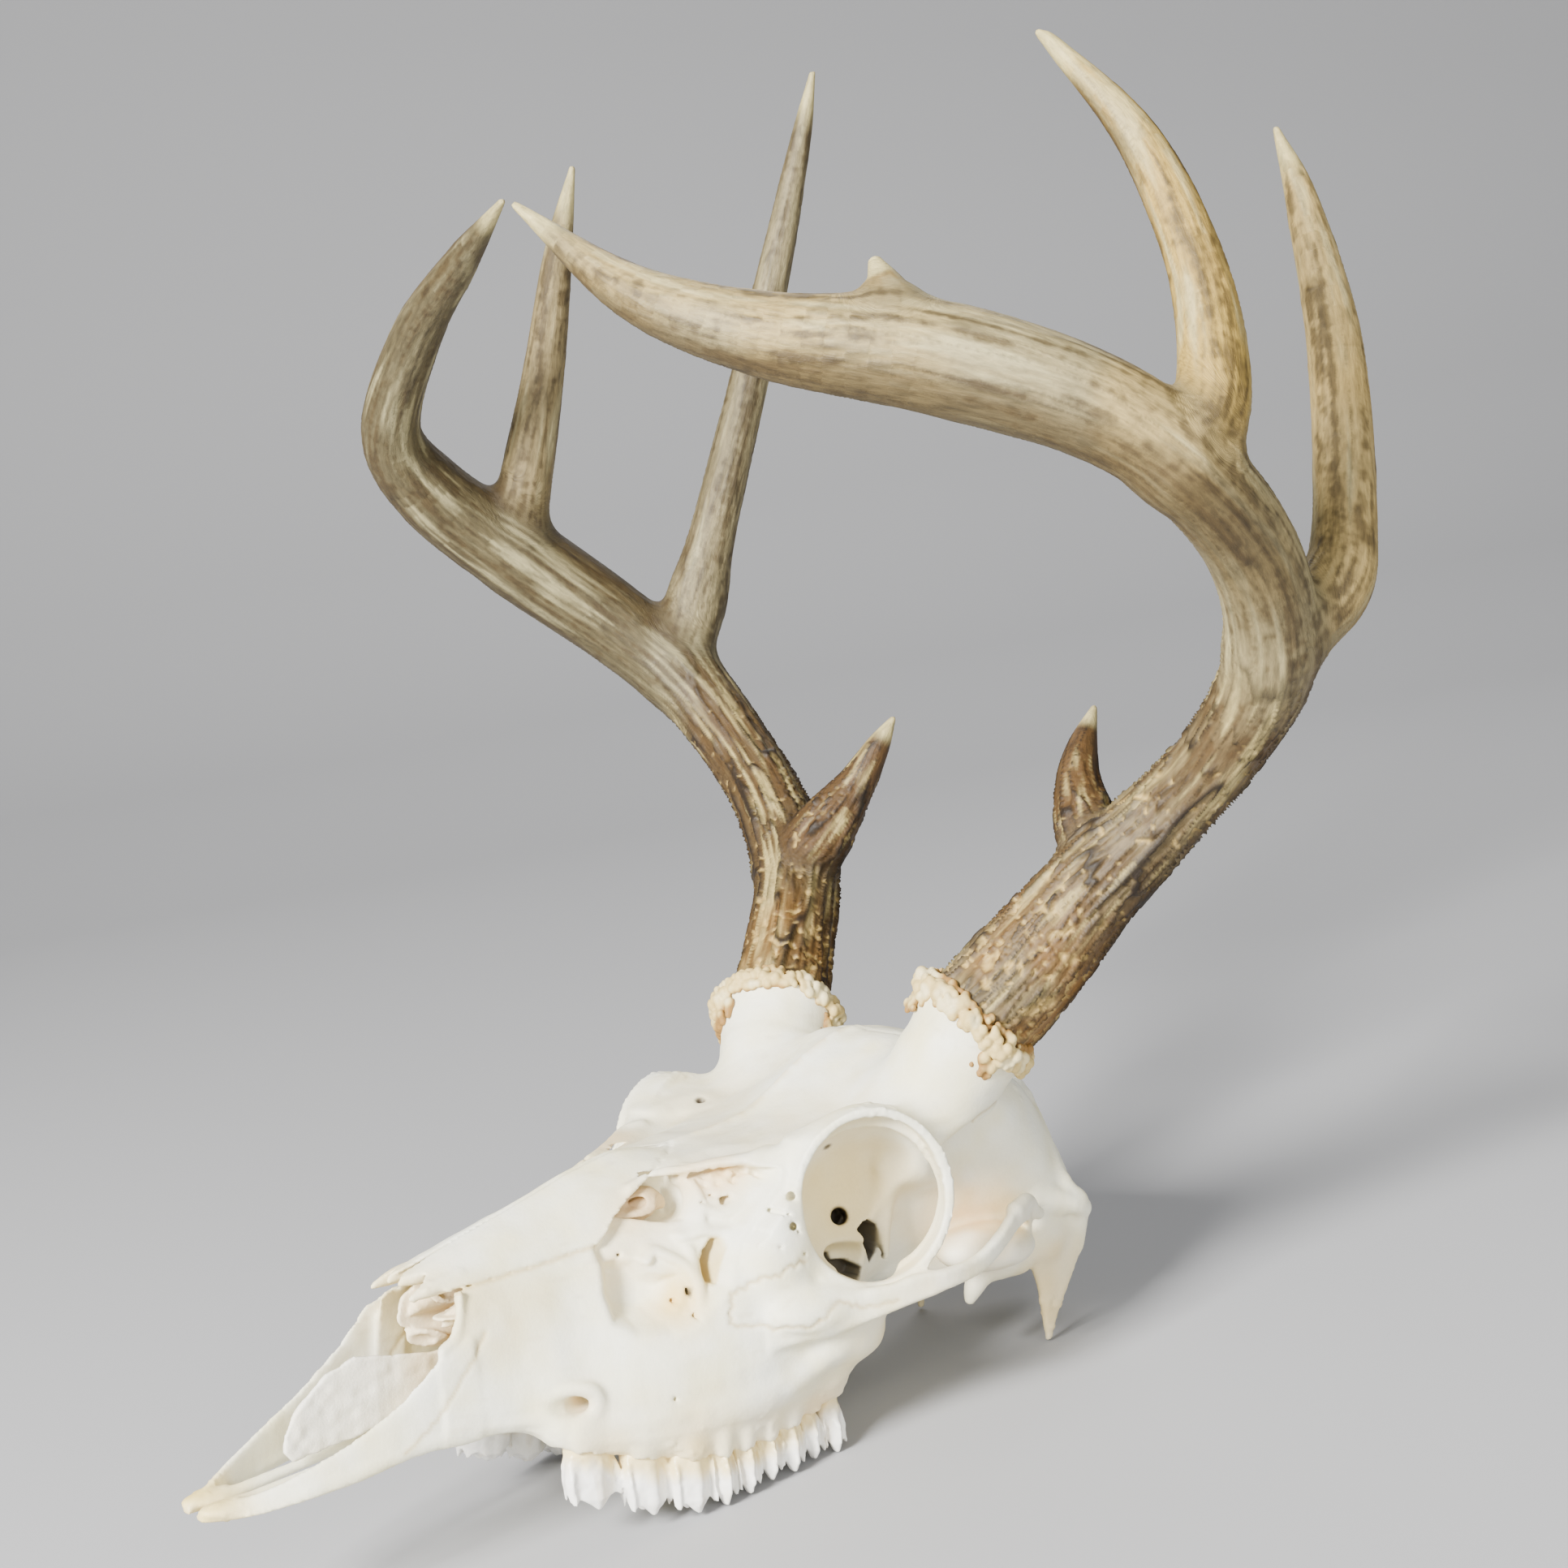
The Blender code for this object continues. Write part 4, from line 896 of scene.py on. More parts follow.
FORAMEN = [(28.2, 91.2, 29.2, 2.6), (26.4, 95.2, 29.6, 2.5), (23.5, 99.5, 30.2, 2)]
FORAMEN_LIP = [
    (26.4, 88, 32.9, 0.7), (28.2, 92.2, 33.2, 1.6), (29.8, 95.8, 32, 2),
    (30.2, 96.9, 28.8, 1.9), (29.4, 94.8, 25.6, 1.2), (28, 91, 25.2, 0.7),
]
FOREHEAD_TROUGH = [
    (14, 128, 88.4, 2.6), (21, 146, 87, 3.4), (27, 160, 89.4, 3.4), (28, 170, 92.8, 2.8),
]


def add_lines(field):
    """The sutures, the hole over the first tooth, and the forehead's trough with the hole in it."""
    for top, sutures in ((False, SUTURES), (True, SUTURES_ABOVE)):
        for line, depth, width, low, high, jag in sutures:
            field.groove(jagged(line, jag), depth, width, low, high, top)
    field.cut(ellipsoid((30, 88.6, 29.2), (3.8, 6, 3), turn=-14), 1.4)
    field.cut(tube(FORAMEN), 0.8)
    field.add(tube(FORAMEN_LIP), 1.6)
    field.cut(tube(FOREHEAD_TROUGH), 3.4)
    field.cut(tube([(28.5, 160, 91, 0.8), (29, 170, 93.6, 1.4), (28, 180, 97.6, 0.8)]), 2)
    field.cut(tube([(29.5, 171.4, 95, 1), (29.5, 171.8, 89, 1)]), 0.6)


# where the bone is stained, and two patches of painted shade on the forehead: centre, radius,
# colour, strength
STAINS_AND_SHADE = [
    ((30, 180, 72), 22, (0.92, 0.84, 0.66), 0.6),
    ((26.4, 95, 29.4), 4, (0.79, 0.65, 0.38), 0.95),
    ((36, 216, 56), 13, (0.92, 0.76, 0.52), 0.75), ((5, 3, 16), 11, (0.92, 0.80, 0.42), 1),
    ((36, 96, 15), 10, (0.91, 0.80, 0.55), 0.7), ((37, 120, 16), 9, (0.91, 0.80, 0.55), 0.6),
    ((38, 140, 16), 9, (0.91, 0.80, 0.55), 0.6), ((37, 160, 16), 10, (0.92, 0.79, 0.55), 0.75),
    ((29, 247, 26), 16, (0.92, 0.81, 0.56), 0.7), ((32, 245, 45), 9, (0.92, 0.80, 0.55), 0.5),
    ((54, 186, 50), 12, (0.93, 0.83, 0.59), 0.5), ((31, 121, 51), 8, (0.91, 0.79, 0.51), 0.85),
    ((22, 110, 60), 7, (0.92, 0.81, 0.55), 0.7), ((26, 140, 79.6), 7, (0.90, 0.75, 0.49), 0.85),
    ((22, 133, 80), 6, (0.90, 0.75, 0.49), 0.6), ((18, 120, 71), 9, (0.89, 0.76, 0.49), 0.8),
    # painted shade: the forehead between the orbits made dimmer and warmer
    ((8, 150, 86), 20, (0.86, 0.81, 0.67), 0.6), ((24, 168, 94), 14, (0.86, 0.81, 0.68), 0.5),
    ((8, 60, 61), 9, (0.94, 0.86, 0.66), 0.6), ((43, 172, 36), 10, (0.93, 0.83, 0.60), 0.5),
]
IVORY = (0.955, 0.95, 0.885)
CREAM = (0.915, 0.872, 0.67)
TAN = (0.85, 0.765, 0.52)
# painted shade: near black laid in holes where only shade is seen
PAINTED_SHADE_UMBER = (0.16, 0.10, 0.05)
SUTURE_TAN = (0.74, 0.64, 0.41)
MIDLINE_TAN = (0.88, 0.80, 0.60)
STREAK_GREY = (0.80, 0.75, 0.64)
# where the bone is pitted: centre and reach
POROUS = [
    ((57, 186, 80), 12), ((50, 174, 96), 9), ((34, 232, 95), 12), ((36, 118, 17), 8),
    ((38, 142, 18), 8), ((37, 162, 18), 8), ((46, 205, 100), 9), ((30, 246, 26), 9),
    ((10, 58, 60), 6), ((8, 8, 16), 8),
]


def paint_bone(points):
    even = folded(points)
    cloud = noise(points, 14, 1) * 0.6 + noise(points, 5, 2) * 0.4
    colours = painted(points, IVORY, (CREAM, 0.32 + 0.6 * cloud))
    for centre, radius, colour, strength in STAINS_AND_SHADE:
        away = np.linalg.norm(even - np.array(centre), axis=1)
        colours = layered(colours, (colour, strength * bell(away, radius) * (1 + 0.5 * cloud)))
    for line, *_, jag in SUTURES:
        near = line_distance(points[:, 1], points[:, 2], jagged(line, jag))
        colours = layered(colours, (SUTURE_TAN, 0.6 * bell(near, 0.55) * (even[:, 0] > 8)))
    middle = bell(points[:, 0], 1.5) * (np.abs(points[:, 1] - 175) < 33)
    streaks = noise(points, (1.6, 7, 1.6), 22) * noise(points, 20, 23)
    return layered(
        colours,
        (MIDLINE_TAN, 0.5 * middle * smooth_step(-0.4, 0.3, noise(points, 2.2, 34))),
        (STREAK_GREY, 0.25 * smooth_step(0.15, 0.5, streaks)),
        (TAN, inner_tan(points) * (0.8 + 0.4 * cloud)),
        # painted shade: the holes behind and before the orbit made near black
        (PAINTED_SHADE_UMBER, painted_hole_shade(points)))


def bone_relief(points, normals):
    """The points moved along their normals, so that the bone is a little uneven and porous."""
    relief = 0.16 * noise(points, 9, 3) + 0.10 * noise(points, 3.2, 4)
    even = folded(points)
    porous = np.zeros(len(points))
    for centre, radius in POROUS:
        away = np.linalg.norm(even - centre, axis=1)
        porous = np.maximum(porous, smooth_step(radius, radius * 0.55, away))
    relief = relief - 0.32 * porous * smooth_step(0.25, 0.7, noise(points, 1.5, 24))
    return points + normals * relief[:, None]


def inner_tan(points):
    """How far a point of the skull lies inside the nose or the orbit, from 0 to 1."""
    even = folded(points)
    nose = ellipsoid((0, 86, 47), (24, 52, 22)).distance(*even.T)
    deep = ellipsoid((30, 182, 70), (22, 19, 21)).distance(*even.T)
    ring = orbit_part(np.array(ORBIT_RADII) + 0.8, -1.5, -RIM_WIDTH - 1).distance(*even.T)
    slot = np.maximum(outline_distance(even[:, 1], even[:, 2], SLOT_HOLE) - 0.5, even[:, 0] - 35)
    return np.max([0.75 * smooth_step(2, -9, nose), 0.46 * smooth_step(3, -8, deep),
                   0.45 * smooth_step(1, -1, ring), 0.9 * smooth_step(0.6, -0.4, slot)], axis=0)


def painted_hole_shade(points):
    """How much painted shade a point gets, from 0 to 1, by how far it lies in a hole that leads into
    the dark.
    """
    x, y, z = folded(points).T
    holes = [
        np.maximum(outline_distance(y, z, ORBIT_SLIT) - 0.3, x - 29.5),
        np.maximum(outline_distance(y, z, ORBIT_FLOOR) - 0.3, x - 34.5),
        bar((26.5, 177.2, 63.4), (12, 184, 60.6), 2.7, 2.7).distance(x, y, z),
        bar((29.5, 171.4, 90.4), (29.5, 171.8, 84), 1.5, 1.5).distance(x, y, z),
        *(np.maximum(outline_distance(y, z, outline), x - 33) for outline in DARK_SLOTS),
    ]
    return 0.93 * smooth_step(0.5, -0.5, np.min(holes, axis=0))


# ==== teeth
def lobes_of(tooth):
    """(Y, Z of the tip, length) of each lobe of a tooth."""
    for i in range(tooth.lobes):
        shift = (i - (tooth.lobes - 1) / 2) * tooth.length / tooth.lobes
        yield tooth.y + shift, tooth.z + TOOTH_RISE * shift, tooth.length / tooth.lobes


# share of the way from root to tip, share of the tooth's size there
TOOTH_WIDTHS = [(0, 0.76), (0.35, 0.84), (0.6, 0.99), (0.85, 0.93), (1, 0.60)]
TOOTH_LENGTHS = [(0, 0.86), (0.22, 0.89), (0.38, 0.96), (0.62, 1.04), (0.9, 0.98), (1, 0.80)]
LOBE_POWER = 2.6                      # of the outline seen from below, in which 2 is an oval


def lobe_part(tooth, y_mid, tip, length):
    """One lobe: an outline that changes on the way down, with ribs outside and a cusp."""
    half = length / 2
    tip = tip + 0.35 * math.sin(3.7 * y_mid)
    lean = 0.06 * math.sin(2.3 * y_mid)

    def distance(x, y, z):
        drop = np.clip((TOOTH_ROOT - z) / (TOOTH_ROOT - tip), 0, 1)
        wide = tooth.width / 2 * read(TOOTH_WIDTHS, drop)
        long = half * read(TOOTH_LENGTHS, drop)
        u = (x - tooth.x - 1.7 * drop ** 2) / wide
        v = (y - y_mid) / long + lean * drop
        far = (np.abs(u) ** LOBE_POWER + np.abs(v) ** LOBE_POWER) ** (1 / LOBE_POWER)
        outer = smooth_step(-0.1, 0.5, u) * smooth_step(0.22, 0.6, drop)
        rib = 1.15 * bell(v, 0.26) + 1.25 * bell(np.abs(v) - 0.93, 0.17)
        around = (far - 1) * np.minimum(wide, long) - rib * outer + 0.35 + 0.35 * outer
        edge = tip + 3.3 * (1 - bell(v, 0.42)) - 1.5 * bell(np.abs(v) - 0.94, 0.15)
        edge = edge + 3.0 * bell(u - 0.12, 0.26) + 1.0 * smooth_step(-0.2, -0.9, u)
        return np.maximum(around, np.maximum(edge - z, z - TOOTH_ROOT))

    low = (tooth.x - tooth.width / 2 - 1, y_mid - half - 1, tip - 1.5)
    high = (tooth.x + tooth.width / 2 + 3, y_mid + half + 1, TOOTH_ROOT)
    return Part(np.array(low), np.array(high), distance)


def model_teeth():
    """The left row, with the lobes roughened and bars through the roots that hold them together."""
    field = Field((16, 86, -5), (46, 174, 23), TOOTH_VOXEL)
    for tooth in TEETH:
        for lobe in lobes_of(tooth):
            field.add(lobe_part(tooth, *lobe), 0.35)
    cells, *place = field.window((16, 86, -5), (46, 174, 16))
    field.d[cells] += grid_noise(*place, (0.28, (2.6, 1.9, 4.5), 32), (0.14, 1.1, 33))
    field.add(bar((26, 92, 20), (31, 112, 20), 3, 3), 0)
    field.add(bar((31, 112, 20), (32, 165, 20), 3, 3), 0)
    return field


ENAMEL = (0.965, 0.955, 0.925)
TARTAR = (0.93, 0.85, 0.63)
TOOTH_GREY = (0.86, 0.79, 0.64)


def paint_teeth(points):
    cloud = noise(points, (4, 2.2, 7), 6)
    under_rim = read(MARGIN, points[:, 1]) - points[:, 2]
    return painted(
        points, ENAMEL,
        (TARTAR, smooth_step(6.5, 1.5, under_rim + 1.6 * cloud)),
        (TOOTH_GREY, 0.35 * smooth_step(0.1, 0.8, cloud)))


# ==== inside of the nose
INNER_BOX = ((-27, 20, 18), (27, 136, 80))
PLATE_HALF = 0.75                     # half the thickness of the plate, inside the solids' one
PLATE_FOOT = [(110, 30), (62, 30), (44, 25)]
SCROLLS = [                           # curled bones on each side of the plate
   
    [(9, 64.5, 50, 2.4), (9.5, 70, 53, 5), (11, 88, 55, 7), (8, 106, 55, 6), (11.5, 120, 67.5, 6.5)],
    [(6.5, 65, 57.4, 1.4), (8, 80, 60, 3.4), (9, 108, 66, 4.5), (13, 124, 72.5, 5.5)],
    [(10, 66.5, 45, 2.6), (10.5, 72, 45.5, 4.6), (11, 90, 47, 6)],
    [(5, 72, 37, 1.6), (8, 90, 40, 4), (12, 112, 46, 6)],
]
SHEET = 0.17                          # half the share of the noise that is bone rather than air
LEAF_DEPTH = 2.4                      # from the scrolls' outside to their solid core


def model_vomer():
    field = Field(*INNER_BOX, NOSE_VOXEL)
    field.add(slab(VOMER[:-2] + PLATE_FOOT, -PLATE_HALF, PLATE_HALF), 0)
    cells, x, y, z = field.window((-3, 20, 18), (3, 136, 60))
    field.d[cells] += grid_noise(x * 0, y, z, (0.28, 2.4, 8))
    scrolls = [part for sign in SIDES.values() for rows in SCROLLS
               for part in tube(flipped(rows, sign))]
    cells, mass = field.near(scrolls, 2)
    x, y, z = field.window(*INNER_BOX)[1:]
    place = x[cells[0]], y[:, cells[1]], z[:, :, cells[2]]
    curls = np.abs(grid_noise(*place, (1, (6.2, 13, 6.2), 9)))
    sheets = (curls - SHEET) * 8 + grid_noise(*place, (0.2, 2.2, 10))
    mass = mass + grid_noise(*place, (0.3, 3.2, 28))
    field.join(cells, np.maximum(mass, np.minimum(mass + LEAF_DEPTH, sheets)), 0.5)
    return field


# ==== antlers
def burr_place(side):
    """The middle of a burr, and the way that the beam starts from it."""
    rows = np.array(BEAM[side], float)[:, :3]
    return rows[BURR_POINT], unit(rows[BURR_POINT + 1] - rows[BURR_POINT - 1])


def branches(side):
    return {"beam": BEAM[side][BURR_POINT:], **TINES[side]}


def model_antler(side):
    reach = np.array([row[:3] for line in branches(side).values() for row in line])
    field = Field(reach.min(0) - 17, reach.max(0) + 17, ANTLER_VOXEL)
    field.add(tube(branches(side)["beam"], BRANCH_STEPS), 0)
    for name, line in TINES[side].items():
        root = (*line[0][:3], line[0][3] * ROOT_SHARE)
        blend = BROW_BLEND if name == "brow" else FORK_BLEND
        field.add(tube([root, *line[1:]], BRANCH_STEPS), blend)
    centre, axis = burr_place(side)
    field.cut(Part(*above(centre, -axis, 24)[:2], above(centre + axis, -axis, 24).distance), 0)
    return field


def branch_places(points, rows):
    """For each point, how far it is from a branch's surface, its place along the branch in mm from
    the root and to the tip, and its place round the branch in a frame that doesn't twist."""
    line = smooth_line(rows, BRANCH_STEPS)
    centre, radius = line[:, :3], np.maximum(line[:, 3], THINNEST)
    length = np.concatenate([[0], np.cumsum(np.linalg.norm(np.diff(centre, axis=0), axis=1))])
    way = unit_rows(np.gradient(centre, axis=0))
    first = np.cross(way[0], (0.3, 0.2, 1))
    sides = []
    for step in way:
        first = unit(first - step * (first @ step))
        sides.append(first)
    sides = np.array(sides)
    others = np.cross(way, sides)
    nearest = np.zeros(len(points), int)
    distance = np.full(len(points), np.inf)
    for i, (middle, size) in enumerate(zip(centre, radius)):
        away = np.linalg.norm(points - middle, axis=1) - size
        closer = away < distance
        distance[closer] = away[closer]
        nearest[closer] = i
    out = points - centre[nearest]
    along = length[nearest] + np.sum(out * way[nearest], axis=1)
    across = np.stack([np.sum(out * ways[nearest], axis=1) for ways in (sides, others)], 1)
    return distance, along, length[-1] - along, unit_rows(across, 1e-9) * radius[nearest][:, None]


TIP_LENGTHS = {"beam": 25, "brow": 11, "second": 25, "third": 25, "fourth": 4}     # pale end, in mm
BLUNT_LENGTH = 46                     # in mm before a tip, where grooves and pearls fade out
SHARING = 2.2                         # mm over which one branch's pattern gives way to the next
GROOVES = [                           # size and seed of the noise that they follow, width, depth
    ((2.6, 2.6, 40), 12, 0.14, 1), ((1.8, 1.8, 22), 27, 0.12, 0.7),
]
ANTLER_TONES = {
    ("left", "beam"): (0.545, 0.485, 0.375), ("left", "brow"): (0.34, 0.235, 0.13),
    ("left", "second"): (0.665, 0.56, 0.385), ("left", "third"): (0.635, 0.515, 0.275),
    ("left", "fourth"): (0.56, 0.46, 0.30),
    ("right", "beam"): (0.345, 0.30, 0.22), ("right", "brow"): (0.34, 0.235, 0.135),
    ("right", "second"): (0.48, 0.425, 0.33), ("right", "third"): (0.49, 0.42, 0.31),
}


def antler_looks(side, points, normals):
    """The grooves, pearls and colours of an antler, summed over the branches that are near."""
    places = {name: branch_places(points, rows) for name, rows in branches(side).items()}
    closest = np.min([place[0] for place in places.values()], axis=0)
    spread = np.linalg.norm(points - burr_place(side)[0], axis=1)
    ones = np.ones(len(points))
    sums = 0
    for number, (name, (distance, along, left, across)) in enumerate(places.items()):
        share = np.exp(-np.maximum(distance - closest, 0) / SHARING)
        if name != "beam":
            share = share * smooth_step(4, 26, along) + 1e-6
        lay = np.column_stack([across, along]) + 40.0 * number
        wander = lay + 1.1 * noise(lay, (9, 9, 14), 26)[:, None] * (1, 1, 0)
        channel = np.max([depth * smooth_step(width, 0.01, np.abs(noise(wander, size, seed)))
                          for size, seed, width, depth in GROOVES], axis=0)
        fine = noise(lay, (1.2, 1.2, 9), 13)
        streak = 0.55 * noise(lay, (1.2, 1.2, 20), 14) + 0.45 * noise(lay, (3.2, 3.2, 44), 15)
        bases = {"beam": smooth_step(175, 70, along), "brow": smooth_step(2, 14, left)}
        base = bases.get(name, 0 * ones)
        tip = smooth_step(TIP_LENGTHS[name], 2, left)
        blunt = smooth_step(BLUNT_LENGTH, 5, left)
        tone = np.outer(ones, linear(ANTLER_TONES[side, name]))
        marks = np.column_stack([lay, tone, ones, channel, fine, streak, base, tip, blunt])
        sums = sums + share[:, None] * marks
    sums = sums / sums[:, 6:7]
    grain, colours = sums[:, :3], sums[:, 3:6]
    channel, fine, streak, base, tip, blunt = sums.T[7:]
    smooth = 1 - 0.95 * blunt
    rough = noise(points + 0.8 * noise(points, 3, 29)[:, None], 2, 16)
    pearls = np.maximum(rough - 0.22, 0) * 1.9 * smooth_step(62, 14, spread) * smooth
    pearls = pearls + np.maximum(noise(points, 1.9, 17) - 0.5, 0) * 1.6 * base * smooth
    relief = smooth * (fine * (0.10 + 0.30 * base) - channel * (0.16 + 0.95 * base)) + pearls - 0.1
    marks = (channel, streak, base, tip, spread, pearls)
    colours = paint_antler(side, points, normals, colours, marks)
    return points + normals * relief[:, None], colours, grain


ANTLER_CAST = (0.98, 1.03, 0.87)      # share of red, green and blue light that the horn gives back
HIGHLIGHT_WAY = (0.72, -0.66, 0.1)        # where the painted highlight along the left beam faces
GOLD_PATCH = (0.68, 0.55, 0.32)
PALE_STREAK = (0.71, 0.655, 0.53)
DARK_STREAK = (0.25, 0.19, 0.11)
# painted shade on one side of the beams' crowns
PAINTED_SIDE_SHADE = (0.27, 0.205, 0.115)
# painted highlight along the left beam
PAINTED_HIGHLIGHT = (0.78, 0.75, 0.68)
BASE_BROWN = (0.29, 0.20, 0.10)
BASE_STREAK = (0.73, 0.64, 0.45)
FOOT_GOLD = (0.54, 0.37, 0.16)
GROOVE_BROWN = (0.11, 0.07, 0.035)
PEARL_CREAM = (0.74, 0.61, 0.39)
TIP_CREAM = (0.77, 0.70, 0.53)


def paint_antler(side, points, normals, colours, marks):
    channel, streak, base, tip, spread, pearls = marks
    cloud = noise(points, 30, 18) * 0.6 + noise(points, 11, 19) * 0.4
    flecks = noise(points, 2.6, 30) * 0.6 + noise(points, 1.3, 31) * 0.4
    crown = smooth_step(110, 170, spread)
    shaded_side = normals[:, 2] * SIDES[side]
    dark = smooth_step(0.05, 0.7, base)
    layers = [
        (PALE_STREAK, 0.55 * smooth_step(0.05, 0.6, streak + 0.5 * cloud)),
        (DARK_STREAK, 0.76 * smooth_step(0.05, -0.5, streak + 0.5 * flecks)),
        # painted shade: the crowns darker on one side by their normals, on top for the left and
        # underneath for the right
        (PAINTED_SIDE_SHADE, 0.78 * (smooth_step(-0.05, 0.6, shaded_side + 0.3 * cloud) * crown)),
        (BASE_BROWN, 0.88 * dark * (0.88 + 0.5 * cloud)),
        (BASE_STREAK, 0.66 * dark * smooth_step(0.08, 0.5, streak)),
        (FOOT_GOLD, 0.6 * (smooth_step(58, 16, spread) * smooth_step(-0.5, 0.4, cloud))),
        (GROOVE_BROWN, channel * (0.34 + 0.62 * dark)),
        (PEARL_CREAM, 0.75 * smooth_step(0.1, 0.6, pearls)),
        (TIP_CREAM, 0.75 * smooth_step(0.1, 0.9, tip)),
    ]
    if side == "left":
        patches = smooth_step(-0.2, 0.7, noise(points, 20, 35)) * crown
        # painted highlight: a pale band where the left beam faces the camera's side
        highlight = smooth_step(0.72, 0.97, normals @ np.array(HIGHLIGHT_WAY) + 0.15 * streak)
        layers.insert(3, (PAINTED_HIGHLIGHT, 0.6 * highlight * smooth_step(90, 150, spread)))
        layers.insert(0, (GOLD_PATCH, 0.42 * patches))
    return layered(colours, *layers) * ANTLER_CAST


BURR_RINGS = [                        # height along the beam, distance from its axis, size of bead
    (-8.4, 15.8, 1.05), (-7, 16.2, 1.1), (-5.4, 16.6, 1.2), (-3.8, 17, 1.2), (-2.2, 17.4, 1.25),
    (-0.8, 17.9, 1.35), (0.8, 18, 1.3), (2.2, 17.2, 1.2), (3.4, 15.9, 1.05),
]
BURR_SEED = {"left": 3, "right": 4}
BURR_FOLDS = 4                        # where the beads hang down the stalk, beside the outer one
FOLD_WIDTH = 0.16
FOLD_START = -3                       # height under which there are beads only in the folds
OUTER_WAY = (0.58, 0.81, 0)


def model_burr(side):
    """A ring of small beads on the stalk's end, some of them hanging down it in folds."""
    centre, axis = burr_place(side)
    turn = np.array(Vector(axis).to_track_quat("Z", "Y").to_matrix())
    field = Field(centre - 27, centre + 27, BURR_VOXEL)
    field.add(disc(centre + axis * 0.6, axis, 16.2, 2), 0)
    random = np.random.default_rng(BURR_SEED[side])
    folds = random.uniform(0, 2 * math.pi, BURR_FOLDS)
    for rise, radius, size in BURR_RINGS:
        count = int(2 * math.pi * radius / (size * 1.7))
        for i in range(count):
            angle = 2 * math.pi * (i + random.uniform(-0.35, 0.35)) / count
            out = turn @ np.array((math.cos(angle), math.sin(angle), 0))
            fold = max(math.exp(-((math.sin((angle - f) / 2)) / FOLD_WIDTH) ** 2) for f in folds)
            fold = max(fold, smooth_step(0.80, 0.95, abs(float(out @ OUTER_WAY))))
            if rise < FOLD_START and random.uniform() > fold:
                continue
            reach = radius + random.uniform(-0.6, 0.7) + (1.3 * fold if rise > FOLD_START else 0)
            bead = size * random.uniform(0.7, 1.35)
            place = centre + out * reach + axis * (rise - 0.9 * fold + random.uniform(-0.7, 0.7))
            field.add(ellipsoid(place, (bead, bead * random.uniform(0.8, 1.1), bead * 1.15)), 0.5)
    return field


BURR_TAN = (0.81, 0.71, 0.46)
# painted shade in the burr's crevices
BURR_CREVICE_SHADE = (0.56, 0.41, 0.20)
# painted highlight on the outer beads
BURR_HIGHLIGHT = (0.91, 0.86, 0.68)


def paint_burr(side, points):
    centre, axis = burr_place(side)
    away = points - centre
    out = np.linalg.norm(away - np.outer(away @ axis, axis), axis=1)
    cloud = noise(points, 4, 20)
    return painted(
        points, BURR_TAN,
        # painted shade: the beads darker in towards the stalk, in the crevices
        (BURR_CREVICE_SHADE, 0.95 * smooth_step(18.2, 16.6, out + 0.7 * cloud)),
        # painted highlight: the outermost beads paler
        (BURR_HIGHLIGHT, 0.7 * smooth_step(-0.1, 0.6, cloud) * smooth_step(17, 18.4, out)))


# ==== materials
def new_material(name):
    made = bpy.data.materials.new(name)
    made.use_nodes = True
    return made, made.node_tree.nodes["Principled BSDF"]


SPECULAR = 0.35
SURFACES = {                          # roughness, size of the grain, its bump and its specks
    "bone": (0.52, 0.9, 0.25, 0.03), "thin_bone": (0.6, 1.3, 0.35, 0.06),
    "enamel": (0.32, 1.1, 0.12, 0.03), "antler": (0.58, 0.9, 0.8, 0.34),
    "burr_bone": (0.55, 1, 0.4, 0.08),
}


def material(name):
    """A surface whose colour comes from the points, with fine noise along the grain and a bump."""
    roughness, grain_size, grain_bump, speck = SURFACES[name]
    made, shader = new_material(name)
    tree = made.node_tree
    shader.inputs["Specular IOR Level"].default_value = SPECULAR

    def node(kind, **values):
        added = tree.nodes.new(kind)
        for key, value in values.items():
            if hasattr(added, key):
                setattr(added, key, value)
            else:
                added.inputs[key].default_value = value
        return added

    tone = node("ShaderNodeAttribute", attribute_name="tone")
    grain = node("ShaderNodeAttribute", attribute_name="grain")
    fine = node("ShaderNodeTexNoise", Scale=grain_size, Detail=5.0, Roughness=0.6)
    broad = node("ShaderNodeTexNoise", Scale=grain_size * 0.22, Detail=3.0, Roughness=0.5)
    shade = node("ShaderNodeMapRange", **{
        "From Min": 0.3, "From Max": 0.7, "To Min": 1 - speck, "To Max": 1 + speck * 0.6})
    tint = node("ShaderNodeVectorMath", operation="SCALE")
    sheen = node("ShaderNodeMapRange", **{"To Min": roughness - 0.12, "To Max": roughness + 0.12})
    bump = node("ShaderNodeBump", Strength=grain_bump, Distance=0.0004)
    for source, output, target, socket in (
            (grain, "Vector", fine, "Vector"), (grain, "Vector", broad, "Vector"),
            (fine, "Fac", shade, "Value"), (tone, "Color", tint, 0),
            (shade, "Result", tint, "Scale"), (tint, "Vector", shader, "Base Color"),
            (broad, "Fac", sheen, "Value"),
            (sheen, "Result", shader, "Roughness"), (fine, "Fac", bump, "Height"),
            (bump, "Normal", shader, "Normal")):
        tree.links.new(source.outputs[output], target.inputs[socket])
    return made


# ==== floor, light and camera
FLOOR_TONE = (0.36, 0.36, 0.37, 1)
FLOOR_ROUGHNESS = 0.8
# how far back and how high, in metres
FLOOR_PROFILE = [(-3, 0), (1.2, 0), (1.6, 0.05), (1.9, 0.2), (2.05, 0.5), (2.1, 3)]
FLOOR_HALF = 5
SKY = (0.93, 0.96, 1, 1)
SKY_STRENGTH = 0.20
LIGHTS = {                            # place, target, size, power and colour
    "key": ((0.5, -1.55, 1.05), (0, 0, 0.12), 0.6, 150, (1, 0.99, 0.965)),
    "fill": ((1.6, -0.35, 0.6), (0, 0, 0.12), 1.2, 24, (0.98, 0.995, 1)),
    "rim": ((-1, 1, 1.4), (0, 0, 0.2), 1, 12, (1, 1, 1)),
}


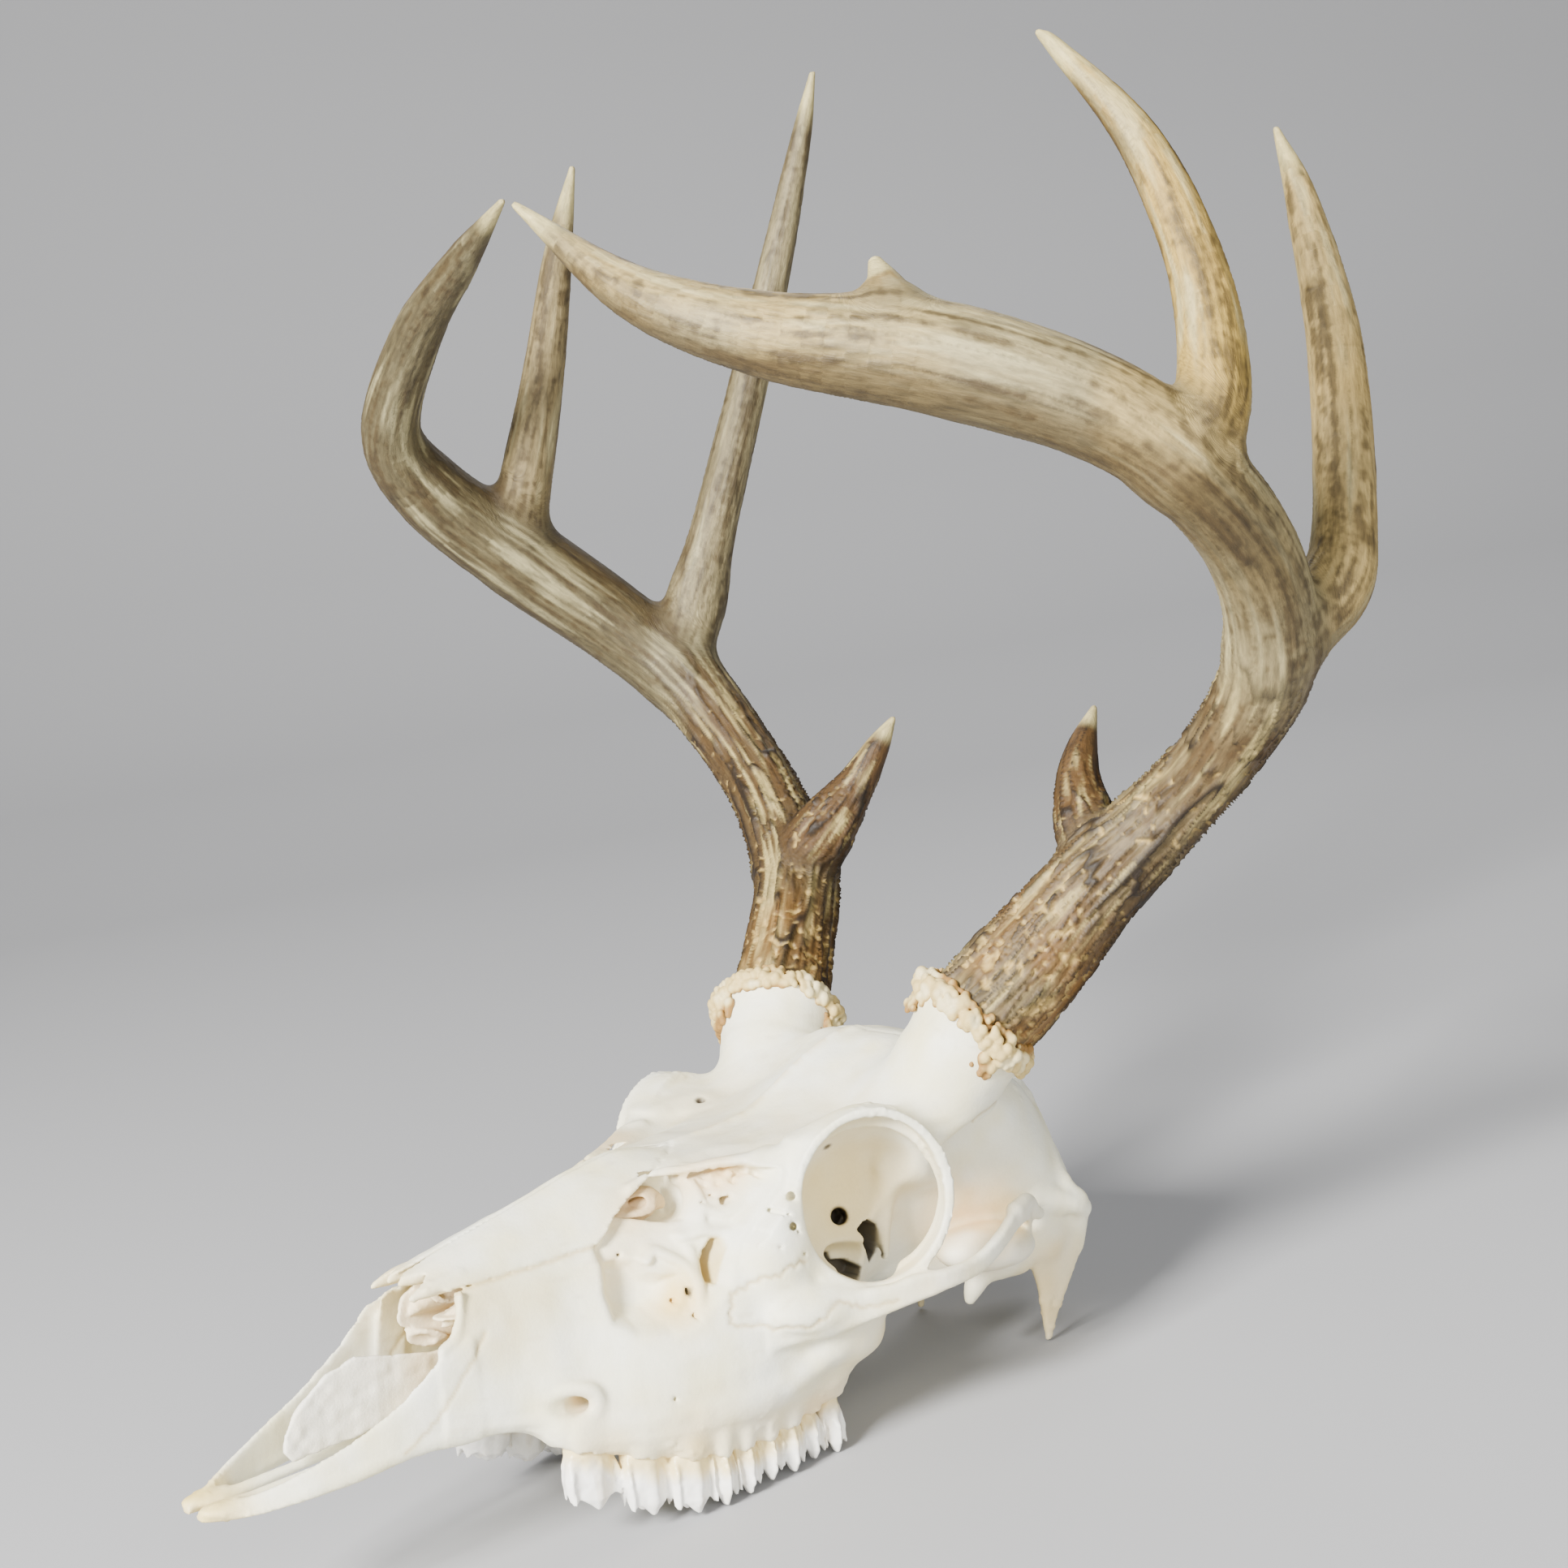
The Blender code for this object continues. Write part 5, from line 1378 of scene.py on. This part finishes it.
def add_floor():
    """A plain floor that rises behind the skull, square to the camera."""
    mesh = bpy.data.meshes.new("floor")
    back = Vector((-math.sin(CAMERA_AZIMUTH), math.cos(CAMERA_AZIMUTH), 0))
    side = Vector((back.y, -back.x, 0))
    points = [back * far + side * width + Vector((0, 0, height))
              for far, height in FLOOR_PROFILE for width in (-FLOOR_HALF, FLOOR_HALF)]
    faces = [(2 * i, 2 * i + 1, 2 * i + 3, 2 * i + 2) for i in range(len(FLOOR_PROFILE) - 1)]
    mesh.from_pydata(points, [], faces)
    mesh.shade_smooth()
    made, shader = new_material("pale_floor")
    shader.inputs["Base Color"].default_value = FLOOR_TONE
    shader.inputs["Roughness"].default_value = FLOOR_ROUGHNESS
    mesh.materials.append(made)
    floor = placed("floor", mesh)


def add_studio():
    world = bpy.data.worlds.new("studio")
    bpy.context.scene.world = world
    world.use_nodes = True
    background = world.node_tree.nodes["Background"]
    background.inputs["Color"].default_value = SKY
    background.inputs["Strength"].default_value = SKY_STRENGTH
    for name, (place, target, size, power, colour) in LIGHTS.items():
        lamp = bpy.data.lights.new(name, "AREA")
        lamp.size, lamp.energy, lamp.color = size, power, colour
        thing = placed(name, lamp)
        thing.location = place
        thing.rotation_euler = (Vector(place) - Vector(target)).to_track_quat("Z", "Y").to_euler()


def add_camera():
    lens = bpy.data.cameras.new("camera")
    lens.sensor_width, lens.lens = SENSOR, CAMERA_LENS
    lens.clip_start, lens.clip_end = 0.01, 20
    thing = placed("camera", lens)
    level = math.cos(CAMERA_ELEVATION)
    back = np.array((math.sin(CAMERA_AZIMUTH) * level, -math.cos(CAMERA_AZIMUTH) * level,
                     math.sin(CAMERA_ELEVATION)))
    right = unit(np.cross(-back, (0, 0, 1)))
    up = np.cross(right, -back)
    cosine, sine = math.cos(CAMERA_ROLL), math.sin(CAMERA_ROLL)
    right, up = cosine * right + sine * up, -sine * right + cosine * up
    place = posed(np.array([CAMERA_PLACE]))[0]
    rows = np.column_stack([TURN @ right, TURN @ up, TURN @ back, place])
    thing.matrix_world = Matrix([*rows.tolist(), (0, 0, 0, 1)])
    bpy.context.scene.camera = thing


# ==== the whole
def add_skull(names):
    points, faces = model_skull().surface()
    colours = paint_bone(points)
    points = bone_relief(points, normals_of(points, faces))
    piece("skull", points, faces, colours, points, material("bone"), names)


THIN_BONE = (0.955, 0.935, 0.875)
# tan with painted shade, deeper in the nose
THIN_TAN_AND_SHADE = (0.93, 0.85, 0.68)
# painted shade deeper in the nose
THIN_PAINTED_SHADE = (0.72, 0.58, 0.38)


def add_vomer():
    points, faces = model_vomer().surface()
    back = points[:, 1]
    # tan with painted shade: the plate and scrolls turn tan and then brown further back in the nose,
    # where shade falls
    colours = painted(
        points, THIN_BONE,
        (THIN_TAN_AND_SHADE, 0.8 * smooth_step(48, 66, back) + 0.15 * noise(points, 4, 21)),
        (THIN_PAINTED_SHADE, 0.6 * smooth_step(66, 84, back)))
    bone = material("thin_bone")
    piece("vomer_and_scrolls", points, faces, colours, points, bone, ["vomer"])


def add_teeth():
    enamel = material("enamel")
    points, faces = model_teeth().surface()
    colours = paint_teeth(points)
    three = (faces[:, 2] == faces[:, 3])[:, None]
    turned = np.where(three, faces[:, [1, 0, 2, 2]], faces[:, ::-1])     # outwards when mirrored
    for (side, sign), corners in zip(SIDES.items(), (faces, turned)):
        piece(side + "_teeth", points * (sign, 1, 1), corners, colours, points, enamel,
              [side + "_maxilla"])


def add_antlers():
    horn, cream = material("antler"), material("burr_bone")
    for side in SIDES:
        points, faces = model_antler(side).surface()
        points, colours, grain = antler_looks(side, points, normals_of(points, faces))
        grain = grain * (1, 1, 0.2)                                   # drawn out along the branch
        nodes = [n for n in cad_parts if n.startswith(side) and ("beam" in n or "tine" in n)]
        piece(side + "_antler", points, faces, colours, grain, horn, nodes)
        points, faces = model_burr(side).surface()
        colours = paint_burr(side, points)
        piece(side + "_burr_beads", points, faces, colours, points, cream,
              [side + "_burr"])


def offset_from_frame():
    """Where the skull's frame starts in the model's frame, from the corner of the vomer's box."""
    corners = np.array([(x, y, z) for x in (-VOMER_HALF, VOMER_HALF) for y, z in VOMER])
    low = (corners @ TURN.T * MM).min(0)
    return np.array(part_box("vomer")[0]) - low


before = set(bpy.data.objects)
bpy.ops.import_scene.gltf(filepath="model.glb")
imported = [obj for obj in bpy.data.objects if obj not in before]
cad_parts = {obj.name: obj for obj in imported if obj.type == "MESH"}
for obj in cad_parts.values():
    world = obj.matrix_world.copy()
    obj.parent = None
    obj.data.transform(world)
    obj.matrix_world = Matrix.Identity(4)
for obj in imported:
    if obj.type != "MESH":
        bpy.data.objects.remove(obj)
CAD_LOW, CAD_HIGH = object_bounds()
OFFSET = offset_from_frame()
add_camera()
add_studio()
add_floor()
add_skull([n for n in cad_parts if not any(w in n for w in ("beam", "tine", "burr", "vomer"))])
add_vomer()
add_teeth()
add_antlers()
